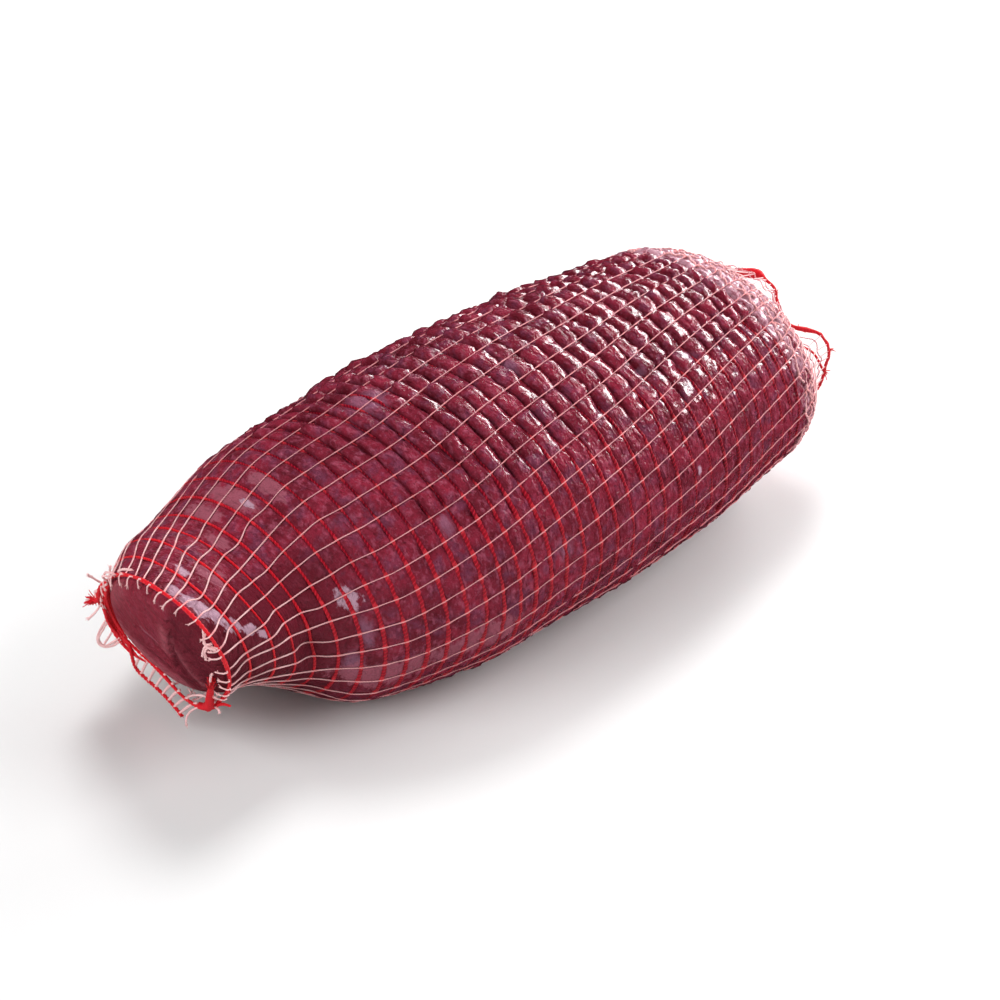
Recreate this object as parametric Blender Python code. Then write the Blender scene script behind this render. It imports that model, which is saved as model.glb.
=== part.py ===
"""Netted venison leg roast: a rolled leg of meat in a tight elastic net, lying on its side.

The roast lies along X, with its cut neck towards -X and its round end towards +X, and rests on
a small flat spot at Z = 0. Three pieces: the netted meat, and the net's loose hem at each end.

A place on the meat is given by a station, 0 at the cut face and 1 at the tip of the round end,
and an angle round the section: 0 on the +Y side, 90 degrees on top, 270 underneath.
"""

import bmesh
import bpy
import numpy as np

MM = 0.001
LENGTH = 291.4 * MM

# The outline of the meat: half sizes, centre and lean of its section at each station.
STATIONS = np.array([0.0, 0.06, 0.12, 0.20, 0.30, 0.42, 0.60, 0.80, 1.0])
HALF_HEIGHT = MM * np.array([25.4, 29.3, 32.9, 45.6, 52.6, 55.3, 54.7, 51.5, 42.0])
HALF_WIDTH = MM * np.array([38.4, 42.1, 44.7, 54.9, 60.0, 62.5, 62.2, 57.2, 50.0])
CENTRE_HEIGHT = MM * np.array([49.7, 47.8, 42.6, 45.7, 52.6, 55.3, 54.7, 51.5, 50.4])
SIDE_OFFSET = MM * np.array([14.3, 19.4, 22.4, 13.8, 2.7, 0.4, -0.6, 2.3, 4.5])
PITCH = np.radians([19.6, 11.6, 6.0, 3.7, 2.2, 3.6, 4.8, 5.6, 5.6])
YAW = np.radians([-5.5, -1.8, 0.0, -2.9, 2.5, 1.5, 0.6, 4.0, 4.5])
ROLL = np.radians([-31.8, -16.8, -4.2, 5.3, 2.3, 0.0, 0.0, 0.0, 0.0])
DOME_START = 0.89
DOME_POWER = 2.25

# The net: hoops round the meat, closer at both ends, and wales along it.
HOOPS = 43
HOOP_KNOTS = np.array([0, 3, 7, 14, 19, 24, 30, 35, 42])
HOOP_STATIONS = np.array([0.006, 0.098, 0.193, 0.334, 0.470, 0.622, 0.796, 0.902, 0.988])
LAST_PILLOWED_HOOP = 36
WALES = 35
FIRST_WALE = np.radians(128.5)
NECK_SWING = np.radians(27)
TWIST = np.radians(22)
TWIST_SPREAD = np.radians(11)

# How deep the net bites, and how uneven the meat between its threads is.
HOOP_GROOVE = 1.6 * MM
FULL_SPACING = 0.026
WALE_GROOVE = 0.8 * MM
PILLOW_SPREAD = 0.3 * MM
SLOW_WAVE = 0.5 * MM
SEED = 11

# Swells and dips of the meat: station, angle, reach along, reach round in degrees, height.
SWELLS = (
    (0.118, 178, 0.014, 10, -3.5 * MM),
    (0.080, 160, 0.020, 14, 1.0 * MM),
    (0.175, 214, 0.030, 18, 2.2 * MM),
    (0.965, 200, 0.030, 35, 3.0 * MM),
)

# The cut face: how far it stands ahead of the first hoop, and how full each ring is.
FACE_RINGS = ((1.5, 0.955), (2.9, 0.885), (3.9, 0.68), (4.5, 0.38))
FACE_POLE = 4.7
FACE_CREASE = 1.4 * MM
REAR_RINGS = (0.36, 0.18)

FLAT_LIFT = 2.0 * MM
RELIEF_FADE = 5.0 * MM

HEM_CORD = 1.2 * MM
THREAD = 0.75 * MM
TUFT = 1.6 * MM
MOUTH_TIGHT = np.radians(120)
MOUTH_LIFT = 0.5 * MM
MOUTH_DROOP = 2.0 * MM
LADDER_OUT = 6.0 * MM
LADDER_AHEAD = 4.5 * MM
CORD_RESOLUTION = 1

# Cut thread ends and tufts of the front hem: angle, reach and radius.
FRONT_ENDS = (
    (6, 0.7, TUFT),
    (22, 0.8, THREAD),
    (200, 0.6, THREAD),
    (222, 0.6, THREAD),
    (238, 0.8, TUFT),
    (282, 1.5, THREAD),
)

# The mouth of the rear hem: its radius at each angle, and how far it stands off the tip.
REAR_ANGLES = np.array([0, 45, 84, 104, 120, 150, 172, 204, 250, 300, 360])
REAR_RADII = MM * np.array([27, 27, 26, 29, 26, 23, 38, 36, 29, 27, 27])
REAR_STAND = 4.0 * MM
DOME_RADIUS = 46 * MM
MOST_SPREAD = 0.93

MEAT_COLOUR = (0.17, 0.018, 0.03, 1.0)
NET_COLOUR = (0.62, 0.02, 0.025, 1.0)


def smooth(knots, values, at):
    """A cubic curve through the values at the knots, its slopes taken from the neighbours."""
    knots = np.asarray(knots, float)
    slopes = np.gradient(values, knots)
    at = np.clip(at, knots[0] - 0.05 * (knots[-1] - knots[0]), knots[-1])
    i = np.clip(np.searchsorted(knots, at) - 1, 0, len(knots) - 2)
    step = knots[i + 1] - knots[i]
    u = (at - knots[i]) / step
    ends = values[i] * (1 + 2 * u) * (1 - u) ** 2 + values[i + 1] * u * u * (3 - 2 * u)
    return ends + step * (slopes[i] * u * (1 - u) ** 2 - slopes[i + 1] * u * u * (1 - u))


def dome(station):
    """How full the section is: 1 along the roast, falling to 0 at the tip of the round end."""
    u = np.clip((station - DOME_START) / (1 - DOME_START), 0, 1)
    return np.sqrt(1 - u**DOME_POWER)


def dome_station(fullness):
    """The station where the round end is this full."""
    return DOME_START + (1 - DOME_START) * (1 - fullness**2) ** (1 / DOME_POWER)


def section_frame(station):
    """The section's centre and its sideways, upward and forward directions."""
    pitch = smooth(STATIONS, PITCH, station)[..., None]
    yaw = smooth(STATIONS, YAW, station)[..., None]
    x_axis, y_axis, z_axis = np.eye(3)
    side = y_axis * np.cos(yaw) - x_axis * np.sin(yaw)
    along = x_axis * np.cos(yaw) + y_axis * np.sin(yaw)
    up = z_axis * np.cos(pitch) - along * np.sin(pitch)
    forward = along * np.cos(pitch) + z_axis * np.sin(pitch)
    offset = smooth(STATIONS, SIDE_OFFSET, station)
    height = smooth(STATIONS, CENTRE_HEIGHT, station)
    return np.stack([station * LENGTH, offset, height], -1), side, up, forward


def on_section(station, angle, fullness=1.0, outward=0.0, ahead=0.0):
    """A point of the section: an ellipse, rolled, filled, pushed outward, and moved ahead."""
    station = np.asarray(station, float)
    centre, side, up, forward = section_frame(station)
    roll = smooth(STATIONS, ROLL, station)
    a = smooth(STATIONS, HALF_WIDTH, station) * fullness + outward
    b = smooth(STATIONS, HALF_HEIGHT, station) * fullness + outward
    x = a * np.cos(angle - roll)
    y = b * np.sin(angle - roll)
    across = (x * np.cos(roll) - y * np.sin(roll))[..., None] * side
    upright = (x * np.sin(roll) + y * np.cos(roll))[..., None] * up
    return centre + across + upright - np.asarray(ahead)[..., None] * forward


def hoop_station(index):
    return smooth(HOOP_KNOTS, HOOP_STATIONS, np.asarray(index, float))


def wale_angle(index, station):
    """A wale runs straight along the barrel, swings up at the neck and turns towards the tip."""
    start = FIRST_WALE + 2 * np.pi * np.asarray(index, float) / WALES
    neck = NECK_SWING * np.clip(1 - station / 0.2, 0, 1.2) ** 1.7
    turn = np.clip((station - 0.22) / 0.58, 0, 1.35)
    return start + neck - turn * (TWIST + TWIST_SPREAD * np.sin(start - FIRST_WALE))


def grid_normals(points):
    """Unit normals of a grid of points whose columns close into rings."""
    along = np.gradient(points, axis=0)
    round_it = np.roll(points, -1, axis=1) - np.roll(points, 1, axis=1)
    normal = np.cross(round_it, along)
    outward = points - points.mean(axis=1, keepdims=True)
    facing = np.sign((normal * outward).sum(-1).mean())
    return facing * normal / np.linalg.norm(normal, axis=-1, keepdims=True)


def swells(station, angle):
    total = np.zeros(np.broadcast(station, angle).shape)
    for at, around, reach, spread, height in SWELLS:
        turn = (angle - np.radians(around) + np.pi) % (2 * np.pi) - np.pi
        near = ((station - at) / reach) ** 2 + (turn / np.radians(spread)) ** 2
        total += height * np.exp(-near)
    wave = np.sin(2 * angle + 19 * station) + np.sin(3 * angle - 31 * station + 1)
    return total + 0.5 * SLOW_WAVE * wave


def meat_points():
    """Rows of points from the cut face to the tip, two to a mesh of the net each way."""
    close = np.arange(0, LAST_PILLOWED_HOOP + 0.5, 0.5)
    crowded = np.arange(LAST_PILLOWED_HOOP + 2, HOOPS, 2)
    row = np.concatenate([close, crowded])[:, None]
    column = np.arange(2 * WALES)[None] / 2
    station = hoop_station(row)
    angle = wale_angle(column, station)
    body = on_section(station, angle, dome(station))

    at_hoop = (row % 1 == 0).astype(float)
    at_wale = (column % 1 == 0).astype(float)
    draw = np.random.default_rng(SEED).uniform(-1, 1, (len(row), 2 * WALES))
    spacing = hoop_station(row + 0.5) - hoop_station(row - 0.5)
    at_hoop *= np.clip(spacing / FULL_SPACING, 0, 1)
    bite = at_hoop * HOOP_GROOVE + at_wale * WALE_GROOVE * (1 - 0.6 * at_hoop)
    pillow = (1 - at_hoop) * (1 - at_wale) * draw * PILLOW_SPREAD
    fade = np.clip((body[..., 2] - FLAT_LIFT) / RELIEF_FADE, 0, 1)
    body = body + grid_normals(body) * (fade * (pillow - bite + swells(station, angle)))[..., None]

    first = hoop_station(np.zeros((1, 1)))
    ring_angle = wale_angle(column, first)
    face = []
    for ahead, fullness in FACE_RINGS[::-1]:
        crease = FACE_CREASE * np.exp(-((ring_angle - np.radians(200)) / 0.35) ** 2) * fullness
        face.append(on_section(first, ring_angle, fullness, -HOOP_GROOVE / 2, ahead * MM - crease))
    tip = []
    for fullness in REAR_RINGS:
        end = np.full((1, 1), dome_station(fullness))
        tip.append(on_section(end, wale_angle(column, end), fullness))
    rings = np.concatenate(face + [body] + tip)
    rings[..., 2] = np.maximum(rings[..., 2], FLAT_LIFT)
    front_pole = on_section(first[0], 0.0, 0.0, ahead=FACE_POLE * MM)
    rear_pole = on_section(np.ones(1), 0.0, 0.0)
    return rings, front_pole, rear_pole


def ring_mesh(name, rings, front_pole, rear_pole):
    """A closed skin over rings of points, with a fan of triangles at each pole."""
    rows, columns = rings.shape[:2]
    index = np.arange(rows * columns).reshape(rows, columns)
    following = np.roll(index, -1, axis=1)
    quads = np.stack([index[:-1], following[:-1], following[1:], index[1:]], -1).reshape(-1, 4)
    front = rows * columns
    faces = quads.tolist()
    faces += [[front, b, a] for a, b in zip(index[0].tolist(), following[0].tolist())]
    faces += [[front + 1, a, b] for a, b in zip(index[-1].tolist(), following[-1].tolist())]
    points = np.concatenate([rings.reshape(-1, 3), front_pole, rear_pole])
    mesh = bpy.data.meshes.new(name)
    mesh.from_pydata(points.tolist(), [], faces)
    shape = bmesh.new()
    shape.from_mesh(mesh)
    bmesh.ops.recalc_face_normals(shape, faces=shape.faces)
    shape.to_mesh(mesh)
    shape.free()
    mesh.shade_smooth()
    return mesh


def material(name, colour, roughness):
    made = bpy.data.materials.new(name)
    made.use_nodes = True
    shader = made.node_tree.nodes["Principled BSDF"]
    shader.inputs["Base Color"].default_value = colour
    shader.inputs["Roughness"].default_value = roughness
    shader.inputs["Metallic"].default_value = 0.0
    return made


def collection(name):
    made = bpy.data.collections.new(name)
    bpy.context.scene.collection.children.link(made)
    return made


def cord(points, radius, closed=False):
    """A round thread through the points, as a closed mesh."""
    curve = bpy.data.curves.new("cord", "CURVE")
    curve.dimensions = "3D"
    curve.bevel_depth = radius
    curve.bevel_resolution = CORD_RESOLUTION
    curve.use_fill_caps = not closed
    spline = curve.splines.new("POLY")
    spline.points.add(len(points) - 1)
    for point, place in zip(spline.points, points):
        point.co = (*place, 1.0)
    spline.use_cyclic_u = closed
    guide = bpy.data.objects.new("guide", curve)
    bpy.context.scene.collection.objects.link(guide)
    graph = bpy.context.evaluated_depsgraph_get()
    mesh = bpy.data.meshes.new_from_object(guide.evaluated_get(graph))
    bpy.data.objects.remove(guide)
    shape = bmesh.new()
    shape.from_mesh(mesh)
    bmesh.ops.remove_doubles(shape, verts=shape.verts, dist=0.00001)
    bmesh.ops.recalc_face_normals(shape, faces=shape.faces)
    shape.to_mesh(mesh)
    shape.free()
    return bpy.data.objects.new("cord", mesh)


def fused(name, cords, home, finish):
    """One solid of all the cords."""
    body = cords[0]
    body.name = name
    home.objects.link(body)
    others = collection(name + "_cords")
    for other in cords[1:]:
        others.objects.link(other)
    union = body.modifiers.new("union", "BOOLEAN")
    union.operation = "UNION"
    union.operand_type = "COLLECTION"
    union.collection = others
    union.solver = "EXACT"
    graph = bpy.context.evaluated_depsgraph_get()
    mesh = bpy.data.meshes.new_from_object(body.evaluated_get(graph))
    body.modifiers.clear()
    body.data = mesh
    for other in cords[1:]:
        bpy.data.objects.remove(other)
    bpy.data.collections.remove(others)
    mesh.materials.clear()
    mesh.materials.append(finish)
    mesh.shade_smooth()
    return body


def front_hem(angle, flare=0.0):
    """The net's mouth: in the first hoop's groove on top, clear of the meat and flared below."""
    droop = (1 - np.cos(angle - MOUTH_TIGHT)) / 2
    outward = MOUTH_LIFT + MOUTH_DROOP * droop + LADDER_OUT * flare
    ahead = MOUTH_DROOP * droop + LADDER_AHEAD * flare
    station = np.full(np.shape(angle), HOOP_STATIONS[0])
    return on_section(station, angle, 1.0, outward, ahead)


def between(start, end, steps):
    return start + (end - start) * np.linspace(0, 1, steps)[:, None]


def make_front_hem(home, finish):
    """The mouth's cord, the loose ladder hanging below it, a loop and the cut thread ends."""
    mouth = np.linspace(0, 2 * np.pi, 44, endpoint=False)
    pieces = [cord(front_hem(mouth), HEM_CORD, closed=True)]
    share = np.linspace(0, 1, 18)
    ladder = np.radians(242 + 86 * share)
    pieces.append(cord(front_hem(ladder, np.sin(np.pi * share) ** 0.7), HEM_CORD))
    for share in np.linspace(0.12, 0.88, 8):
        turn = np.radians(242 + 86 * share)
        rung = between(front_hem(turn), front_hem(turn, np.sin(np.pi * share) ** 0.7), 3)
        pieces.append(cord(rung, THREAD))
    share = np.linspace(0, 1, 9)
    loop = np.radians(352 - 30 * share)
    pieces.append(cord(front_hem(loop, 1.4 * np.sin(np.pi * share)), THREAD))
    for turn, reach, radius in FRONT_ENDS:
        start = front_hem(np.radians(turn))
        end = front_hem(np.radians(turn + 4), reach)
        pieces.append(cord(between(start, end, 3), radius))
    return fused("front_hem", pieces, home, finish)


def rear_hem(angle):
    """The net's mouth behind the tip: a ring whose near side stands out as a loop."""
    radius = smooth(REAR_ANGLES, REAR_RADII, np.degrees(angle))
    end = np.ones(np.shape(angle))
    centre, side, up, forward = section_frame(end)
    spread = np.cos(angle)[..., None] * side + np.sin(angle)[..., None] * up
    return centre + REAR_STAND * forward + radius[..., None] * spread


def make_rear_hem(home, finish):
    """The mouth's cord with a thick gathered stretch, tied to the meat by the ends of the wales."""
    mouth = np.linspace(0, 2 * np.pi, 40, endpoint=False)
    pieces = [cord(rear_hem(mouth), HEM_CORD, closed=True)]
    bunch = np.radians(np.linspace(80, 112, 6))
    pieces.append(cord(rear_hem(bunch), TUFT))
    for turn in np.radians(np.arange(5, 360, 27.7)):
        top = rear_hem(turn)
        radius = smooth(REAR_ANGLES, REAR_RADII, np.degrees(turn))
        fullness = np.clip(1.12 * radius / DOME_RADIUS, 0, MOST_SPREAD)
        end = dome_station(fullness)
        lift = 2 * THREAD + np.maximum(swells(end, turn), 0)
        foot = on_section(end, turn, fullness, lift)
        pieces.append(cord(between(foot, top, 3), THREAD))
    for turn in np.radians([96, 178]):
        start = rear_hem(turn)
        centre = rear_hem(turn + np.pi)
        pieces.append(cord(between(start, start + 0.09 * (start - centre), 3), THREAD))
    return fused("rear_hem", pieces, home, finish)


def stand_on_origin(objects):
    """Puts the flat spot on Z = 0 and the whole object's box over the origin."""
    corners = np.array([np.array(vertex.co) for obj in objects for vertex in obj.data.vertices])
    low = corners.min(axis=0)
    high = corners.max(axis=0)
    for obj in objects:
        obj.location = (-(low[0] + high[0]) / 2, -(low[1] + high[1]) / 2, -FLAT_LIFT)


def main():
    for old in list(bpy.data.objects):
        bpy.data.objects.remove(old)
    home = collection("netted_venison_leg_roast")
    meat = bpy.data.objects.new("netted_roast", ring_mesh("netted_roast", *meat_points()))
    meat.data.materials.append(material("meat", MEAT_COLOUR, 0.35))
    home.objects.link(meat)
    net = material("net", NET_COLOUR, 0.6)
    hems = [make_front_hem(home, net), make_rear_hem(home, net)]
    stand_on_origin([meat] + hems)


main()
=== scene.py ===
# %% [markdown]
# # A netted venison leg roast
#
# The subject is a boned leg of venison, rolled tight and pulled into an elastic net. It lies on its
# side: the cut neck end is at -X, the round end at +X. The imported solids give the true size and
# place. This lesson dresses them: wet dark meat that swells between the threads, red elastic hoops,
# pale pink threads along, and the frayed mouths of the net at both ends.
#
# Lengths are in metres, and MM turns millimetres into metres.

import bpy
import numpy as np
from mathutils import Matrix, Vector


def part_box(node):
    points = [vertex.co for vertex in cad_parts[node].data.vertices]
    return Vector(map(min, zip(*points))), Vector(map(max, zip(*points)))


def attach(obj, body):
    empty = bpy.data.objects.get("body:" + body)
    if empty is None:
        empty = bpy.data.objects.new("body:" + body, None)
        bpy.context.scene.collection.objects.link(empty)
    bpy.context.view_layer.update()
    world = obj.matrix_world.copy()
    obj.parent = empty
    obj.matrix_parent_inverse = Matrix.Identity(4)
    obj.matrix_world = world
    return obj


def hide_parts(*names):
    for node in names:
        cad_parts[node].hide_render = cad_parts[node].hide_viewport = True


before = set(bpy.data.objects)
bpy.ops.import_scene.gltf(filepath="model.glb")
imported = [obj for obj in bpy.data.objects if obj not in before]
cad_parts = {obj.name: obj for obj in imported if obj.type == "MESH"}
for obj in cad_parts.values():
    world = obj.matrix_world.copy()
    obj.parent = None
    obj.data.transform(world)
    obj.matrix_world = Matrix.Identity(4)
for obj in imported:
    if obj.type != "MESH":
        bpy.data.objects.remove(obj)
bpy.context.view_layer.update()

MM = 0.001

# %% [markdown]
# ## The form under the net
#
# A real roast has no straight axis: the neck is thin, leans to one side and droops. So the meat is
# described by sections. At each of a few stations along it, a rolled ellipse has a half height, a
# half width, a centre and a lean. A smooth curve through the stations gives every section between.
# A station is a share of the length, and each array below has one value for every station.
# A sculpted cage could do the same, but a formula lets the net find its own place on the surface.

# %% The driving sizes of the meat and of the net
LENGTH = 291.4 * MM
STATIONS = np.array([0.0, 0.06, 0.12, 0.20, 0.30, 0.42, 0.60, 0.80, 1.0])
HALF_HEIGHT = MM * np.array([25.4, 29.3, 32.9, 45.6, 52.6, 55.3, 54.7, 51.5, 42.0])
HALF_WIDTH = MM * np.array([38.4, 42.1, 44.7, 54.9, 60.0, 62.5, 62.2, 57.2, 50.0])
CENTRE_HEIGHT = MM * np.array([49.7, 47.8, 42.6, 45.7, 52.6, 55.3, 54.7, 51.5, 50.4])
SIDE_OFFSET = MM * np.array([14.3, 19.4, 22.4, 13.8, 2.7, 0.4, -0.6, 2.3, 4.5])
PITCH = np.radians([19.6, 11.6, 6.0, 3.7, 2.2, 3.6, 4.8, 5.6, 5.6])
YAW = np.radians([-5.5, -1.8, 0.0, -2.9, 2.5, 1.5, 0.6, 4.0, 4.5])
ROLL = np.radians([-31.8, -16.8, -4.2, 5.3, 2.3, 0.0, 0.0, 0.0, 0.0])
DOME_START, DOME_POWER = 0.89, 2.25

HOOPS = 43
LAST_HOOP = HOOPS - 1
HOOP_KNOTS = np.array([0, 3, 7, 14, 19, 24, 30, 35, 42])
HOOP_STATIONS = np.array([0.006, 0.098, 0.193, 0.334, 0.470, 0.622, 0.796, 0.902, 0.988])
WALES = 35
FIRST_WALE = np.radians(128.5)
NECK_SWING, TWIST, TWIST_SPREAD = np.radians([27, 22, 11])
NECK_END, NECK_MOST, NECK_POWER = 0.2, 1.2, 1.7
TWIST_START, TWIST_RUN, TWIST_MOST = 0.22, 0.58, 1.35

FLAT_LIFT = 2.0 * MM
RELIEF_FADE = 5.0 * MM
print(HOOPS, "rows of net and", WALES, "threads along", LENGTH, "m of meat")

# %% Curves and sections
OVERRUN = 0.05


def smooth(knots, values, at):
    """A cubic curve through the values at the knots.

    Each slope is the neighbours' rise over their run, and between two knots the four cubic
    weights of Hermite blend both values and both slopes. It runs on a little before the first.
    """
    knots = np.asarray(knots, float)
    slopes = np.gradient(values, knots)
    at = np.clip(at, knots[0] - OVERRUN * (knots[-1] - knots[0]), knots[-1])
    i = np.clip(np.searchsorted(knots, at) - 1, 0, len(knots) - 2)
    step = knots[i + 1] - knots[i]
    u = (at - knots[i]) / step
    ends = values[i] * (1 + 2 * u) * (1 - u) ** 2 + values[i + 1] * u * u * (3 - 2 * u)
    return ends + step * (slopes[i] * u * (1 - u) ** 2 - slopes[i + 1] * u * u * (1 - u))


def ramp(low, high, at):
    """0 below low, 1 above high, and the smooth step u * u * (3 - 2 u) between."""
    u = np.clip((at - low) / (high - low), 0, 1)
    return u * u * (3 - 2 * u)


def in_degrees(angle, first=0):
    """An angle in degrees, moved by whole turns into the 360 degrees that start at the first."""
    return (np.degrees(angle) - first) % 360 + first


def dome(station):
    """How full a section is: the square root of 1 - u to the power, u running over the round end."""
    u = np.clip((station - DOME_START) / (1 - DOME_START), 0, 1)
    return np.sqrt(1 - u**DOME_POWER)


def dome_station(fullness):
    """The inverse of dome: the station where the round end is this full."""
    return DOME_START + (1 - DOME_START) * (1 - fullness**2) ** (1 / DOME_POWER)


# %% A section and its points
def section_frame(station):
    """A section's centre, and its sideways, upward and forward unit vectors, leaning by pitch and yaw."""
    pitch = smooth(STATIONS, PITCH, station)[..., None]
    yaw = smooth(STATIONS, YAW, station)[..., None]
    x_axis, y_axis, z_axis = np.eye(3)
    side = y_axis * np.cos(yaw) - x_axis * np.sin(yaw)
    along = x_axis * np.cos(yaw) + y_axis * np.sin(yaw)
    up = z_axis * np.cos(pitch) - along * np.sin(pitch)
    forward = along * np.cos(pitch) + z_axis * np.sin(pitch)
    offset = smooth(STATIONS, SIDE_OFFSET, station)
    height = smooth(STATIONS, CENTRE_HEIGHT, station)
    return np.stack([station * LENGTH, offset, height], -1), side, up, forward


def on_section(station, angle, fullness=1.0, outward=0.0, ahead=0.0):
    """A point of a section: centre + a cos(angle - roll), b sin(angle - roll), turned by the roll.

    a and b are the half sizes times the fullness plus the outward shift; the point then moves
    ahead, against the forward vector, out of the section's plane.
    """
    station = np.asarray(station, float)
    centre, side, up, forward = section_frame(station)
    roll = smooth(STATIONS, ROLL, station)
    a = smooth(STATIONS, HALF_WIDTH, station) * fullness + outward
    b = smooth(STATIONS, HALF_HEIGHT, station) * fullness + outward
    x = a * np.cos(angle - roll)
    y = b * np.sin(angle - roll)
    across = (x * np.cos(roll) - y * np.sin(roll))[..., None] * side
    upright = (x * np.sin(roll) + y * np.cos(roll))[..., None] * up
    return centre + across + upright - np.asarray(ahead)[..., None] * forward


print("its middle section is", (2 * smooth(STATIONS, HALF_WIDTH, 0.5)).round(4), "m wide")

# %% [markdown]
# ## Where the threads run
#
# The net is a tube of knitted elastic. Its hoops go round the meat, and its wales run along it.
# A place on the roast is named by the net itself: a hoop number and a wale number, both allowed to
# be fractions. Half way between two hoops and two wales is the top of one little pillow of meat.

# %% Noise
NOISE_CORNER = np.array([-60, -110, -20]) * MM


def lattice_noise(points, cell, seed):
    """Random values from -1 to 1 on a lattice of cells, blended by smooth steps along each axis."""
    place = (points - NOISE_CORNER) / cell
    corner = np.floor(place).astype(int)
    corner -= corner.reshape(-1, 3).min(0)
    part = place - np.floor(place)
    part = part * part * (3 - 2 * part)
    values = np.random.default_rng(seed).uniform(-1, 1, corner.reshape(-1, 3).max(0) + 2)
    total = np.zeros(points.shape[:-1])
    for step in np.ndindex(2, 2, 2):
        weight = np.where(step, part, 1 - part).prod(-1)
        x, y, z = np.moveaxis(corner + step, -1, 0)
        total += weight * values[x, y, z]
    return total


def net_noise(hoop, wale, seed, reach=1.0):
    """Lattice noise over the net: a cylinder one unit to a hoop and one unit to a wale."""
    turn = 2 * np.pi * np.asarray(wale) / WALES
    radius = WALES / (2 * np.pi)
    spread = np.broadcast_arrays(hoop, radius * np.cos(turn), radius * np.sin(turn))
    return lattice_noise(np.stack(spread, -1).astype(float), reach, seed)


# %% Places on the net
def hoop_station(hoop):
    """The station of a hoop number: a smooth curve through the hoops counted off at the knots."""
    return smooth(HOOP_KNOTS, HOOP_STATIONS, np.asarray(hoop, float))


def wale_angle(wale, station):
    """Straight along the barrel, plus a swing at the neck, less a turn that grows to the tip."""
    start = FIRST_WALE + 2 * np.pi * np.asarray(wale, float) / WALES
    neck = NECK_SWING * np.clip(1 - station / NECK_END, 0, NECK_MOST) ** NECK_POWER
    turn = np.clip((station - TWIST_START) / TWIST_RUN, 0, TWIST_MOST)
    return start + neck - turn * (TWIST + TWIST_SPREAD * np.sin(start - FIRST_WALE))


HOOP_WANDER = 0.0011
WALE_WANDER, NECK_KINK = np.radians([0.6, 3.4])


def slack_neck(station):
    """1 at the cut face, where the net hangs slack, and 0 from a quarter of the length on."""
    return 1 - ramp(0.04, 0.24, station)


def net_place(hoop, wale):
    """Station and angle of a place on the net, with the small wander of real knitting."""
    straight = hoop_station(hoop)
    calm = 1 - 0.6 * ramp(0.82, 0.92, straight)
    station = straight + HOOP_WANDER * calm * net_noise(hoop, wale, 5, 3.0) * ramp(0, 1, hoop)
    kink = NECK_KINK * slack_neck(straight) * net_noise(hoop, wale, 7)
    angle = wale_angle(wale, straight) + WALE_WANDER * net_noise(hoop, wale, 6, 4.5) + kink
    return station, angle


row_gaps = np.diff(hoop_station(np.arange(HOOPS))) * LENGTH
print("rows of the net lie", row_gaps.min().round(4), "to", row_gaps.max().round(4), "m apart")

# %% The smooth skin
# station, angle in degrees, reach in stations, spread in degrees, height
SWELLS = (
    (0.118, 178, 0.014, 10, -3.5 * MM),
    (0.080, 160, 0.020, 14, 1.0 * MM),
    (0.175, 214, 0.030, 18, 2.2 * MM),
    (0.965, 200, 0.030, 35, 3.0 * MM),
)
SLOW_WAVE = 0.5 * MM
STEP, TURN_STEP, NEAR_TIP = 1e-4, 1e-3, 0.9999


def bell(station, angle, spot):
    """A bell curve round a spot: e to the minus (run / reach) squared minus (turn / spread) squared."""
    at, around, reach, spread = spot
    turn = in_degrees(angle, around - 180) - around
    return np.exp(-(((station - at) / reach) ** 2) - (turn / spread) ** 2)


def swells(station, angle):
    """Broad swells and dips: bell curves at named places, plus two slow waves."""
    total = np.zeros(np.broadcast(station, angle).shape)
    for *spot, height in SWELLS:
        total = total + height * bell(station, angle, spot)
    wave = np.sin(2 * angle + 19 * station) + np.sin(3 * angle - 31 * station + 1)
    return total + 0.5 * SLOW_WAVE * wave


def skin(station, angle):
    """The smooth meat under the net and its outward unit normal, the cross of two small steps."""
    low = np.clip(station - STEP, 0, NEAR_TIP - 2 * STEP)
    high = np.clip(station + STEP, 0, NEAR_TIP)
    along = on_section(high, angle, dome(high)) - on_section(low, angle, dome(low))
    clipped = np.clip(station, 0, NEAR_TIP)
    before = on_section(clipped, angle - TURN_STEP, dome(clipped))
    after = on_section(clipped, angle + TURN_STEP, dome(clipped))
    normal = np.cross(along, after - before)
    normal = -normal / np.linalg.norm(normal, axis=-1, keepdims=True)
    point = on_section(station, angle, dome(station))
    fade = np.clip((point[..., 2] - FLAT_LIFT) / RELIEF_FADE, 0, 1)
    return point + normal * (fade * swells(station, angle))[..., None], normal, fade


# %% [markdown]
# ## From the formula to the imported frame
#
# The formula starts at the foot of the cut face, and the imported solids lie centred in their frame.
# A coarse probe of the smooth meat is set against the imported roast's own box. The shift between
# them, HOME, is added to every piece's points, so each object itself stays at the origin.

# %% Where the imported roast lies
probe_station, probe_angle = np.meshgrid(np.linspace(0, 1, 300), np.linspace(0, 2 * np.pi, 280))
probe = skin(probe_station, probe_angle)[0]
probe_high, probe_low = probe.max((0, 1)), probe.min((0, 1))
roast_low, roast_high = (np.array(corner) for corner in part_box("netted_roast"))
HOME = np.array([
    roast_high[0] - probe_high[0],
    (roast_high[1] + roast_low[1] - probe_high[1] - probe_low[1]) / 2,
    -FLAT_LIFT,
])
print("the cut face's foot lies at", HOME.round(4), "of the packed frame")

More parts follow.
